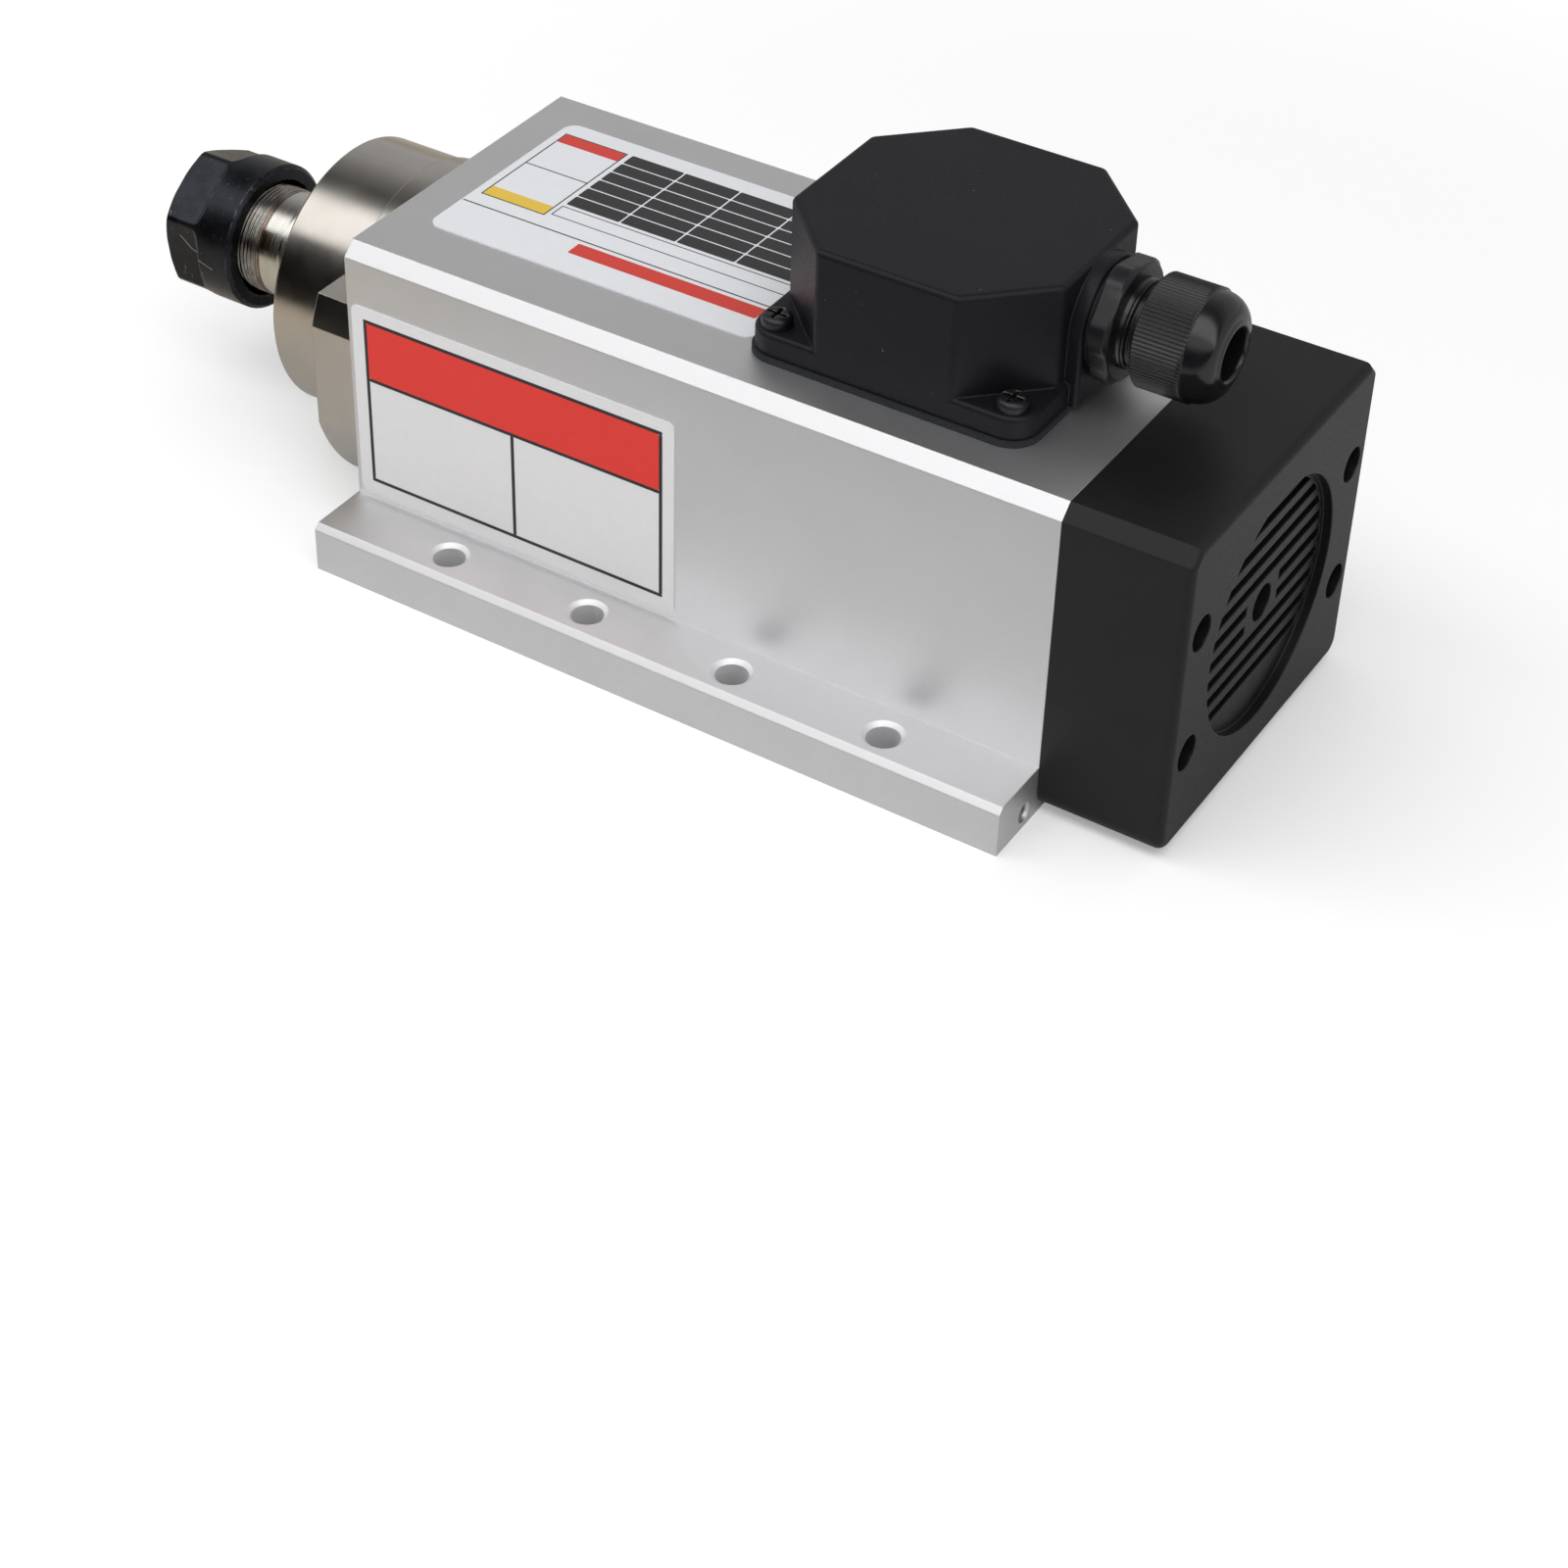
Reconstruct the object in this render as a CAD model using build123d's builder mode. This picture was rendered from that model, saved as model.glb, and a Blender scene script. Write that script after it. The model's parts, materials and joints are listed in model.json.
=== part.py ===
from build123d import *
import os
from math import cos, radians, sin, tan

# Air-cooled square spindle motor with an ER20 collet nose, a terminal box and a cable gland.
# Millimetres. +X runs from the collet nose to the fan cover, +Z is up and the mounting base is Z = 0.
# The origin is the centre of the eight mounting holes, on the base plane.

os.makedirs("parts", exist_ok=True)

# ---- driving dimensions ---------------------------------------------------------------------------

# Extruded body
BODY_LENGTH = 167.0
BODY_WIDTH = 80.0
BODY_HEIGHT = 73.0
BODY_CHAMFER = 3.0
BORE_RADIUS = 32.5
AXIS_Z = 37.3
FLANGE_WIDTH = 111.0
FLANGE_HEIGHT = 11.5
FLANGE_CHAMFER = 1.3
FLANGE_FILLET = 0.8
BASE_HOLE_RADIUS = 3.5
BASE_HOLE_RIM = 4.4
BASE_HOLE_PITCH = 35.5
BASE_ROW_SPACING = 96.0
GROUND_HOLE_RADIUS = 1.65
GROUND_HOLE_Y = -45.0
GROUND_HOLE_Z = 3.6

# Nose housing
BOSS_RADIUS = 30.5
BOSS_LENGTH = 30.0
NOSE_PLATE_RADIUS = 41.4
NOSE_PLATE_WIDTH = 79.2
NOSE_PLATE_THICKNESS = 10.5
NOSE_PLATE_TOP = 56.3
NOSE_STEP_RADIUS = 31.1
NOSE_PLATE_BOTTOM = 4.0
SPIGOT_LENGTH = 6.0
SPIGOT_RADIUS = BORE_RADIUS - 0.02
NOSE_SCREW_Y = 32.6
NOSE_SCREW_DZ = 12.6

# Shaft, collet and nut (ER20, M25 x 1.5)
SHAFT_RADIUS = 12.5
THREAD_RADIUS = 12.4
NUT_THREAD_PITCH = 1.5
NUT_FRONT_X = -156.6
NUT_LENGTH = 19.5
NUT_RADIUS = 17.0
NUT_FLATS = 30.0
NUT_HEX_LENGTH = 10.6
NUT_RUN_OUT = 2.2
NUT_TURN = 6.5
TAPER_ANGLE = 8.0
COLLET_MOUTH_RADIUS = 10.5
COLLET_BORE_RADIUS = 3.0
COLLET_LENGTH = 31.5

# Motor inside
CORE_FRONT_X = -58.0
CORE_LENGTH = 80.0
ROTOR_RADIUS = 18.0
ROTOR_BORE_RADIUS = 12.0
STATOR_BORE_RADIUS = 18.5
SLOT_COUNT = 18
END_TURN_LENGTH = 13.0

# Ball bearings: bore radius, outer radius, width, ball radius, ball count
FRONT_BEARING = (12.5, 23.5, 12.0, 3.2, 12)
REAR_BEARING = (8.5, 17.5, 10.0, 2.5, 10)
BALL_PLAY = 0.06

# Rear bracket, fan and cover
BRACKET_THICKNESS = 3.0
FAN_RADIUS = 28.0
FAN_BLADES = 9
FAN_FRONT_X = 87.2
FAN_WIDTH = 11.0
COVER_LENGTH = 27.0
COVER_BOTTOM = 1.5
COVER_WALL = 2.5
COVER_CORNER = 4.0
COVER_SCREW_Y = 33.0
COVER_SCREW_DZ = 14.3
COVER_SCREW_SEAT_X = 91.0
GRILLE_RADIUS = 27.0
GRILLE_RECESS = 2.0
GRILLE_PLATE = 2.5
GRILLE_PITCH = 4.6
GRILLE_SLOT = 2.4
GRILLE_SLOTS_UP = 4.5
GRILLE_SLOT_COUNT = 9
GRILLE_HUB_RADIUS = 4.0

# Terminal box
BOX_X = 37.7
BOX_Y = 1.0
BOX_BASE_LENGTH = 62.2
BOX_BASE_WIDTH = 59.0
BOX_LENGTH = 59.8
BOX_WIDTH = 59.0
BOX_CUT = 14.8
BOX_TOP_Z = 101.4
BOX_EAR_Z = 79.3
BOX_WALL = 2.5
BOX_CORNER_FILLET = 2.0
BOX_TOP_FILLET = 1.2
FOOT_FILLET = 1.0
GASKET_THICKNESS = 1.3
BOX_SCREW_SPACING_X = 52.1
BOX_SCREW_SPACING_Y = 50.4
LEAD_HOLE_RADIUS = 6.0

# Cable gland (PG11)
GLAND_Z = 89.0
GLAND_THREAD_RADIUS = 9.2
GLAND_FLATS = 23.6
GLAND_HEX_TURN = 50
GLAND_HEX_CORNER = 12.6
GLAND_BOSS_RADIUS = 12.1
GLAND_NUT_RADIUS = 11.5
GLAND_CABLE_RADIUS = 5.2
GLAND_THREAD_PITCH = 1.5

# ---- planes and derived places --------------------------------------------------------------------

BODY_FRONT_X = -BODY_LENGTH / 2
BODY_REAR_X = BODY_LENGTH / 2
BOSS_FRONT_X = BODY_FRONT_X - BOSS_LENGTH
COVER_REAR_X = BODY_REAR_X + COVER_LENGTH
CORE_REAR_X = CORE_FRONT_X + CORE_LENGTH
HALF_WIDTH = BODY_WIDTH / 2
HALF_FLANGE = FLANGE_WIDTH / 2

# Sketches on AXIAL are drawn as (x, radius) and revolved about the spindle axis.
AXIAL = Plane(origin=(0, 0, AXIS_Z), x_dir=(1, 0, 0), z_dir=(0, -1, 0))
SPIN_AXIS = Axis((0, 0, AXIS_Z), (1, 0, 0))
# The gland has its own axis through the rear wall of the terminal box.
GLAND_AXIAL = Plane(origin=(0, BOX_Y, GLAND_Z), x_dir=(1, 0, 0), z_dir=(0, -1, 0))
GLAND_AXIS = Axis((0, BOX_Y, GLAND_Z), (1, 0, 0))


def section_at(x):
    """Plane across the spindle at x, centred on the spindle axis: local x is Y, local y is Z."""
    return Plane(origin=(x, 0, AXIS_Z), x_dir=(0, 1, 0), z_dir=(1, 0, 0))


def gland_section_at(x):
    """Plane across the gland at x, centred on the gland axis."""
    return Plane(origin=(x, BOX_Y, GLAND_Z), x_dir=(0, 1, 0), z_dir=(1, 0, 0))


def nose_face_at(x):
    """Plane across the spindle at x, facing the nose, for holes drilled from the front."""
    return Plane(origin=(x, 0, AXIS_Z), x_dir=(0, 1, 0), z_dir=(-1, 0, 0))


def turned(outline, plane=AXIAL, axis=SPIN_AXIS):
    """A turned piece from its half section, points given as (x, radius)."""
    with BuildPart() as piece:
        with BuildSketch(plane):
            with BuildLine():
                Polyline(*outline, close=True)
            make_face()
        revolve(axis=axis)
    return piece


# ---- body -----------------------------------------------------------------------------------------

CHANNEL_OUTLINE = [(30.5, 69.5), (37.0, 69.5), (37.0, 54.0), (31.8, 58.0)]

with BuildPart() as body_housing:
    with BuildSketch(Plane.YZ.offset(BODY_FRONT_X)):
        with BuildLine():
            Polyline(
                (0, 0),
                (HALF_FLANGE, 0),
                (HALF_FLANGE, FLANGE_HEIGHT - FLANGE_CHAMFER),
                (HALF_FLANGE - FLANGE_CHAMFER, FLANGE_HEIGHT),
                (HALF_WIDTH, FLANGE_HEIGHT),
                (HALF_WIDTH, BODY_HEIGHT - BODY_CHAMFER),
                (HALF_WIDTH - BODY_CHAMFER, BODY_HEIGHT),
                (0, BODY_HEIGHT),
                close=True,
            )
        make_face()
        # Cooling air runs through one channel in each corner of the extrusion.
        with BuildLine():
            Polyline(*CHANNEL_OUTLINE, close=True)
        make_face(mode=Mode.SUBTRACT)
        with BuildLine():
            Polyline(*[(y, 2 * AXIS_Z - z) for y, z in CHANNEL_OUTLINE], close=True)
        make_face(mode=Mode.SUBTRACT)
        mirror(about=Plane.YZ)
        with Locations((0, AXIS_Z)):
            Circle(BORE_RADIUS, mode=Mode.SUBTRACT)
    extrude(amount=BODY_LENGTH)
    # Eight mounting holes through the flanges, each with a chamfered rim.
    with Locations(Plane.XY.offset(FLANGE_HEIGHT)):
        with GridLocations(BASE_HOLE_PITCH, BASE_ROW_SPACING, 4, 2):
            CounterSinkHole(BASE_HOLE_RADIUS, BASE_HOLE_RIM, counter_sink_angle=90)
    # Tapped holes: nose housing, fan cover, terminal box and ground screw.
    with BuildSketch(section_at(BODY_FRONT_X)):
        with GridLocations(2 * NOSE_SCREW_Y, 2 * NOSE_SCREW_DZ, 2, 2):
            Circle(2.0)
    extrude(amount=12.0, mode=Mode.SUBTRACT)
    with BuildSketch(section_at(BODY_REAR_X)):
        with GridLocations(2 * COVER_SCREW_Y, 2 * COVER_SCREW_DZ, 2, 2):
            Circle(2.0)
    extrude(amount=-12.0, mode=Mode.SUBTRACT)
    with BuildSketch(Plane.XY.offset(BODY_HEIGHT)):
        with Locations((BOX_X, BOX_Y)):
            with GridLocations(BOX_SCREW_SPACING_X, BOX_SCREW_SPACING_Y, 2, 2):
                Circle(2.0)
    extrude(amount=-9.0, mode=Mode.SUBTRACT)
    with Locations(Plane(origin=(BODY_REAR_X, GROUND_HOLE_Y, GROUND_HOLE_Z), z_dir=(1, 0, 0))):
        CounterSinkHole(GROUND_HOLE_RADIUS, 2.2, depth=8.0, counter_sink_angle=90)
    # Opening for the motor leads, from the bore up into the terminal box.
    with BuildSketch(Plane.XY.offset(AXIS_Z)):
        with Locations((BOX_X + 15.0, BOX_Y)):
            Circle(LEAD_HOLE_RADIUS)
    extrude(amount=BODY_HEIGHT - AXIS_Z, mode=Mode.SUBTRACT)
body_housing.part.label = "body_housing"
export_step(body_housing.part, "parts/body_housing.step")

# ---- nose housing and its screws ------------------------------------------------------------------

FRONT_BORE, FRONT_OUTER, FRONT_WIDTH, FRONT_BALL, FRONT_BALLS = FRONT_BEARING
RETAINER_LENGTH = 5.5
FRONT_BEARING_A_X = BOSS_FRONT_X + RETAINER_LENGTH
FRONT_BEARING_B_X = FRONT_BEARING_A_X + FRONT_WIDTH
FRONT_SHOULDER_X = FRONT_BEARING_B_X + FRONT_WIDTH
NOSE_PLATE_X = BODY_FRONT_X - NOSE_PLATE_THICKNESS
SPIGOT_X = BODY_FRONT_X + SPIGOT_LENGTH
BOSS_EDGE = 0.7

with BuildPart() as nose_housing:
    with BuildSketch(section_at(NOSE_PLATE_X)):
        Circle(NOSE_PLATE_RADIUS)
        # The plate is milled flat at the top, at the bottom and at the sides.
        with Locations((0, (NOSE_PLATE_TOP + NOSE_PLATE_BOTTOM) / 2 - AXIS_Z)):
            Rectangle(NOSE_PLATE_WIDTH, NOSE_PLATE_TOP - NOSE_PLATE_BOTTOM, mode=Mode.INTERSECT)
        Circle(NOSE_STEP_RADIUS)
    extrude(amount=NOSE_PLATE_THICKNESS)
    with BuildSketch(AXIAL):
        with BuildLine():
            Polyline(
                (BOSS_FRONT_X, 0),
                (BOSS_FRONT_X, BOSS_RADIUS - BOSS_EDGE),
                (BOSS_FRONT_X + BOSS_EDGE, BOSS_RADIUS),
                (BODY_FRONT_X, BOSS_RADIUS),
                (BODY_FRONT_X, SPIGOT_RADIUS),
                (SPIGOT_X - 1, SPIGOT_RADIUS),
                (SPIGOT_X, SPIGOT_RADIUS - 1),
                (SPIGOT_X, 0),
                close=True,
            )
        make_face()
    revolve(axis=SPIN_AXIS)
    with BuildSketch(AXIAL):
        with BuildLine():
            Polyline(
                (BOSS_FRONT_X, 0),
                (BOSS_FRONT_X, FRONT_OUTER + 1.5),
                (FRONT_BEARING_A_X, FRONT_OUTER + 1.5),
                (FRONT_BEARING_A_X, FRONT_OUTER),
                (FRONT_SHOULDER_X, FRONT_OUTER),
                (FRONT_SHOULDER_X, FRONT_OUTER - 3.5),
                (SPIGOT_X, FRONT_OUTER - 3.5),
                (SPIGOT_X, 0),
                close=True,
            )
        make_face()
    revolve(axis=SPIN_AXIS, mode=Mode.SUBTRACT)
    with Locations(nose_face_at(NOSE_PLATE_X)):
        with GridLocations(2 * NOSE_SCREW_Y, 2 * NOSE_SCREW_DZ, 2, 2):
            CounterBoreHole(2.2, 3.7, 4.4, depth=NOSE_PLATE_THICKNESS)
nose_housing.part.label = "nose_housing"
export_step(nose_housing.part, "parts/nose_housing.step")


def socket_screw(plane, head_radius, head_height, shank_radius, shank_length, socket=1.5):
    """Cap screw: the plane lies under the head and faces out of the head."""
    with BuildPart() as screw:
        with BuildSketch(plane):
            Circle(head_radius)
        extrude(amount=head_height)
        with BuildSketch(plane.offset(head_height)):
            RegularPolygon(socket, 6, major_radius=False)
        extrude(amount=-head_height * 0.55, mode=Mode.SUBTRACT)
        with BuildSketch(plane):
            Circle(shank_radius)
        extrude(amount=-shank_length)
    return screw


def corner_pairs(half_a, half_b):
    """The four corners of a rectangle about the origin."""
    return [(a, b) for a in (-half_a, half_a) for b in (-half_b, half_b)]


NOSE_SCREW_SEAT_X = NOSE_PLATE_X + 4.4
for number, (y, dz) in enumerate(corner_pairs(NOSE_SCREW_Y, NOSE_SCREW_DZ), start=1):
    seat = Plane(origin=(NOSE_SCREW_SEAT_X, y, AXIS_Z + dz), z_dir=(-1, 0, 0))
    nose_screw = socket_screw(seat, 3.5, 4.0, 1.98, 16.0)
    nose_screw.part.label = f"nose_screw_{number}"
    export_step(nose_screw.part, f"parts/nose_screw_{number}.step")

with BuildPart() as bearing_retainer:
    with BuildSketch(section_at(BOSS_FRONT_X + 0.5)):
        Circle(FRONT_OUTER + 1.4)
        Circle(14.3, mode=Mode.SUBTRACT)
    extrude(amount=RETAINER_LENGTH - 0.5)
    # Two blind holes take the pin spanner.
    with BuildSketch(section_at(BOSS_FRONT_X + 0.5)):
        with PolarLocations(19.5, 2, start_angle=90):
            Circle(1.6)
    extrude(amount=3.0, mode=Mode.SUBTRACT)
bearing_retainer.part.label = "bearing_retainer"
export_step(bearing_retainer.part, "parts/bearing_retainer.step")

# ---- ball bearings --------------------------------------------------------------------------------


def bearing_parts(x_front, bore, outer, width, ball, count):
    """Outer ring, inner ring and caged ball set of a deep-groove bearing, from x_front rearward."""
    pitch = (bore + outer) / 2
    middle = x_front + width / 2
    groove = ball + BALL_PLAY
    rings = []
    for low, high in ((pitch + ball * 0.62, outer), (bore, pitch - ball * 0.62)):
        with BuildPart() as ring:
            with BuildSketch(AXIAL):
                with BuildLine():
                    Polyline(
                        (x_front, low),
                        (x_front + width, low),
                        (x_front + width, high),
                        (x_front, high),
                        close=True,
                    )
                make_face()
                with Locations((middle, pitch)):
                    Circle(groove, mode=Mode.SUBTRACT)
            revolve(axis=SPIN_AXIS)
        rings.append(ring)
    with BuildPart() as ball_set:
        with BuildSketch(AXIAL):
            with Locations((middle, pitch)):
                Rectangle(width * 0.7, ball * 0.5)
        revolve(axis=SPIN_AXIS)
        with Locations(section_at(middle)):
            with PolarLocations(pitch, count):
                Sphere(ball)
    return rings[0], rings[1], ball_set


for letter, x_front in (("a", FRONT_BEARING_A_X), ("b", FRONT_BEARING_B_X)):
    outer_ring, inner_ring, ball_set = bearing_parts(x_front, *FRONT_BEARING)
    outer_ring.part.label = f"front_bearing_{letter}_outer"
    export_step(outer_ring.part, f"parts/front_bearing_{letter}_outer.step")
    inner_ring.part.label = f"front_bearing_{letter}_inner"
    export_step(inner_ring.part, f"parts/front_bearing_{letter}_inner.step")
    ball_set.part.label = f"front_bearing_{letter}_balls"
    export_step(ball_set.part, f"parts/front_bearing_{letter}_balls.step")

REAR_BORE, REAR_OUTER, REAR_WIDTH, REAR_BALL, REAR_BALLS = REAR_BEARING
REAR_BEARING_X = 66.0
rear_outer_ring, rear_inner_ring, rear_ball_set = bearing_parts(REAR_BEARING_X, *REAR_BEARING)
rear_outer_ring.part.label = "rear_bearing_outer"
export_step(rear_outer_ring.part, "parts/rear_bearing_outer.step")
rear_inner_ring.part.label = "rear_bearing_inner"
export_step(rear_inner_ring.part, "parts/rear_bearing_inner.step")
rear_ball_set.part.label = "rear_bearing_balls"
export_step(rear_ball_set.part, "parts/rear_bearing_balls.step")

# ---- shaft and what turns with it -----------------------------------------------------------------

SHAFT_NOSE_X = NUT_FRONT_X + 6.6
SHAFT_TAIL_X = FAN_FRONT_X + FAN_WIDTH - 0.5
TAPER_DEPTH = 27.5
TAPER_END_RADIUS = COLLET_MOUTH_RADIUS - TAPER_DEPTH * tan(radians(TAPER_ANGLE))
SHAFT_BORE_RADIUS = 5.6
SHAFT_BORE_END_X = -96.0
FAN_SEAT_RADIUS = 6.0
FAN_SCREW_RADIUS = 2.0

with BuildPart() as spindle_shaft:
    with BuildSketch(AXIAL):
        with BuildLine():
            Polyline(
                (SHAFT_NOSE_X, COLLET_MOUTH_RADIUS),
                (SHAFT_NOSE_X, THREAD_RADIUS - 0.8),
                (SHAFT_NOSE_X + 0.8, THREAD_RADIUS),
                (-130.0, THREAD_RADIUS),
                (-129.3, THREAD_RADIUS - 0.8),
                (-127.0, THREAD_RADIUS - 0.8),
                (-126.3, SHAFT_RADIUS),
                (FRONT_SHOULDER_X, SHAFT_RADIUS),
                (FRONT_SHOULDER_X, SHAFT_RADIUS + 2.5),
                (-76.0, SHAFT_RADIUS + 2.5),
                (-76.0, SHAFT_RADIUS + 0.5),
                (-62.0, SHAFT_RADIUS + 0.5),
                (-62.0, ROTOR_BORE_RADIUS),
                (CORE_REAR_X + 4, ROTOR_BORE_RADIUS),
                (CORE_REAR_X + 4, REAR_BORE + 1.5),
                (REAR_BEARING_X, REAR_BORE + 1.5),
                (REAR_BEARING_X, REAR_BORE),
                (REAR_BEARING_X + REAR_WIDTH + 4, REAR_BORE),
                (REAR_BEARING_X + REAR_WIDTH + 4, REAR_BORE - 0.8),
                (FAN_FRONT_X, REAR_BORE - 0.8),
                (FAN_FRONT_X, FAN_SEAT_RADIUS),
                (SHAFT_TAIL_X, FAN_SEAT_RADIUS),
                (SHAFT_TAIL_X, FAN_SCREW_RADIUS),
                (FAN_FRONT_X - 4, FAN_SCREW_RADIUS),
                (FAN_FRONT_X - 4, 0),
                (SHAFT_BORE_END_X, 0),
                (SHAFT_BORE_END_X, SHAFT_BORE_RADIUS),
                (SHAFT_NOSE_X + TAPER_DEPTH, SHAFT_BORE_RADIUS),
                (SHAFT_NOSE_X + TAPER_DEPTH, TAPER_END_RADIUS),
                close=True,
            )
        make_face()
    revolve(axis=SPIN_AXIS)
spindle_shaft.part.label = "spindle_shaft"
export_step(spindle_shaft.part, "parts/spindle_shaft.step")

labyrinth_ring = turned(
    [
        (BOSS_FRONT_X - 2.0, SHAFT_RADIUS),
        (FRONT_BEARING_A_X, SHAFT_RADIUS),
        (FRONT_BEARING_A_X, SHAFT_RADIUS + 1.5),
        (BOSS_FRONT_X + 0.2, SHAFT_RADIUS + 1.5),
        (BOSS_FRONT_X - 0.4, SHAFT_RADIUS + 3.5),
        (BOSS_FRONT_X - 2.0, SHAFT_RADIUS + 3.5),
    ]
)
labyrinth_ring.part.label = "labyrinth_ring"
export_step(labyrinth_ring.part, "parts/labyrinth_ring.step")

with BuildPart() as rotor_core:
    with BuildSketch(section_at(CORE_FRONT_X)):
        Circle(ROTOR_RADIUS)
        Circle(ROTOR_BORE_RADIUS, mode=Mode.SUBTRACT)
    extrude(amount=CORE_LENGTH)
rotor_core.part.label = "rotor_core"
export_step(rotor_core.part, "parts/rotor_core.step")

for place, x_ring in (("front", CORE_FRONT_X - 4), ("rear", CORE_REAR_X)):
    with BuildPart() as end_ring:
        with BuildSketch(section_at(x_ring)):
            Circle(ROTOR_RADIUS - 0.6)
            Circle(ROTOR_BORE_RADIUS, mode=Mode.SUBTRACT)
        extrude(amount=4.0)
    end_ring.part.label = f"rotor_end_ring_{place}"
    export_step(end_ring.part, f"parts/rotor_end_ring_{place}.step")

with BuildPart() as stator_core:
    with BuildSketch(section_at(CORE_FRONT_X)):
        Circle(BORE_RADIUS)
        Circle(STATOR_BORE_RADIUS, mode=Mode.SUBTRACT)
        with PolarLocations(23.8, SLOT_COUNT):
            Rectangle(8.4, 3.4, mode=Mode.SUBTRACT)
        with PolarLocations(STATOR_BORE_RADIUS + 0.5, SLOT_COUNT):
            Rectangle(2.4, 1.4, mode=Mode.SUBTRACT)
    extrude(amount=CORE_LENGTH)
stator_core.part.label = "stator_core"
export_step(stator_core.part, "parts/stator_core.step")

with BuildPart() as stator_windings:
    with BuildSketch(section_at(CORE_FRONT_X - 0.5)):
        with PolarLocations(23.8, SLOT_COUNT):
            Rectangle(8.0, 3.0)
    extrude(amount=CORE_LENGTH + 1.0)
    for x_turn in (CORE_FRONT_X - END_TURN_LENGTH, CORE_REAR_X + 0.5):
        with BuildSketch(section_at(x_turn)):
            Circle(29.0)
            Circle(19.6, mode=Mode.SUBTRACT)
        extrude(amount=END_TURN_LENGTH - 0.5)
stator_windings.part.label = "stator_windings"
export_step(stator_windings.part, "parts/stator_windings.step")

# ---- ER20 collet and nut --------------------------------------------------------------------------

# The closed collet stands in the shaft's taper. Its front cone bears on the nut's 30 degree seat, and
# the nut's eccentric lip reaches into the collet's groove, so the nut draws the collet out.
COLLET_PLAY = 0.05
COLLET_FRONT_X = SHAFT_NOSE_X - 5.9
COLLET_REAR_X = COLLET_FRONT_X + COLLET_LENGTH
COLLET_REAR_RADIUS = COLLET_MOUTH_RADIUS - COLLET_PLAY - (COLLET_REAR_X - SHAFT_NOSE_X) * tan(
    radians(TAPER_ANGLE)
)
COLLET_GROOVE_RADIUS = 8.7
COLLET_HEAD_RADIUS = 9.92
SLIT_WIDTH = 0.5
SLITS = 8

with BuildPart() as collet:
    with BuildSketch(AXIAL):
        with BuildLine():
            Polyline(
                (COLLET_FRONT_X, COLLET_BORE_RADIUS + 0.4),
                (COLLET_FRONT_X, 9.0),
                (COLLET_FRONT_X + 1.6, COLLET_HEAD_RADIUS),
                (COLLET_FRONT_X + 1.9, COLLET_HEAD_RADIUS),
                (COLLET_FRONT_X + 1.9, COLLET_GROOVE_RADIUS),
                (COLLET_FRONT_X + 4.6, COLLET_GROOVE_RADIUS),
                (COLLET_FRONT_X + 4.8, COLLET_MOUTH_RADIUS - 0.25),
                (SHAFT_NOSE_X, COLLET_MOUTH_RADIUS - COLLET_PLAY),
                (COLLET_REAR_X, COLLET_REAR_RADIUS),
                (COLLET_REAR_X, COLLET_BORE_RADIUS),
                (COLLET_FRONT_X + 0.4, COLLET_BORE_RADIUS),
                close=True,
            )
        make_face()
    revolve(axis=SPIN_AXIS)
    # Slits run in turn from the front and from the rear, and none reaches the other end.
    with BuildSketch(section_at(COLLET_FRONT_X)):
        with PolarLocations(COLLET_MOUTH_RADIUS / 2 + 1.5, SLITS):
            Rectangle(COLLET_MOUTH_RADIUS + 1, SLIT_WIDTH)
    extrude(amount=COLLET_LENGTH - 5.0, mode=Mode.SUBTRACT)
    with BuildSketch(section_at(COLLET_REAR_X)):
        with PolarLocations(COLLET_MOUTH_RADIUS / 2 + 1.5, SLITS, start_angle=180 / SLITS):
            Rectangle(COLLET_MOUTH_RADIUS + 1, SLIT_WIDTH)
    extrude(amount=-(COLLET_LENGTH - 7.0), mode=Mode.SUBTRACT)
collet.part.label = "collet"
export_step(collet.part, "parts/collet.step")

NUT_REAR_X = NUT_FRONT_X + NUT_LENGTH
NUT_MOUTH_RADIUS = 9.2
NUT_THREAD_BORE = THREAD_RADIUS + 0.08
LIP_RADIUS = 9.6
LIP_OFFSET = 0.5
LIP_X = NUT_FRONT_X + 3.1
LIP_LENGTH = 1.4
NUT_FLAT_END_X = NUT_FRONT_X + NUT_HEX_LENGTH
NUT_RUN_OUT_X = NUT_FLAT_END_X - NUT_RUN_OUT


def nut_flat_section(number):
    """Lengthwise plane through the spindle axis and the middle of one of the nut's flats."""
    turn = radians(NUT_TURN + 30 + 60 * number)
    return Plane(origin=(0, 0, AXIS_Z), x_dir=(1, 0, 0), z_dir=(0, -cos(turn), -sin(turn)))


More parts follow.
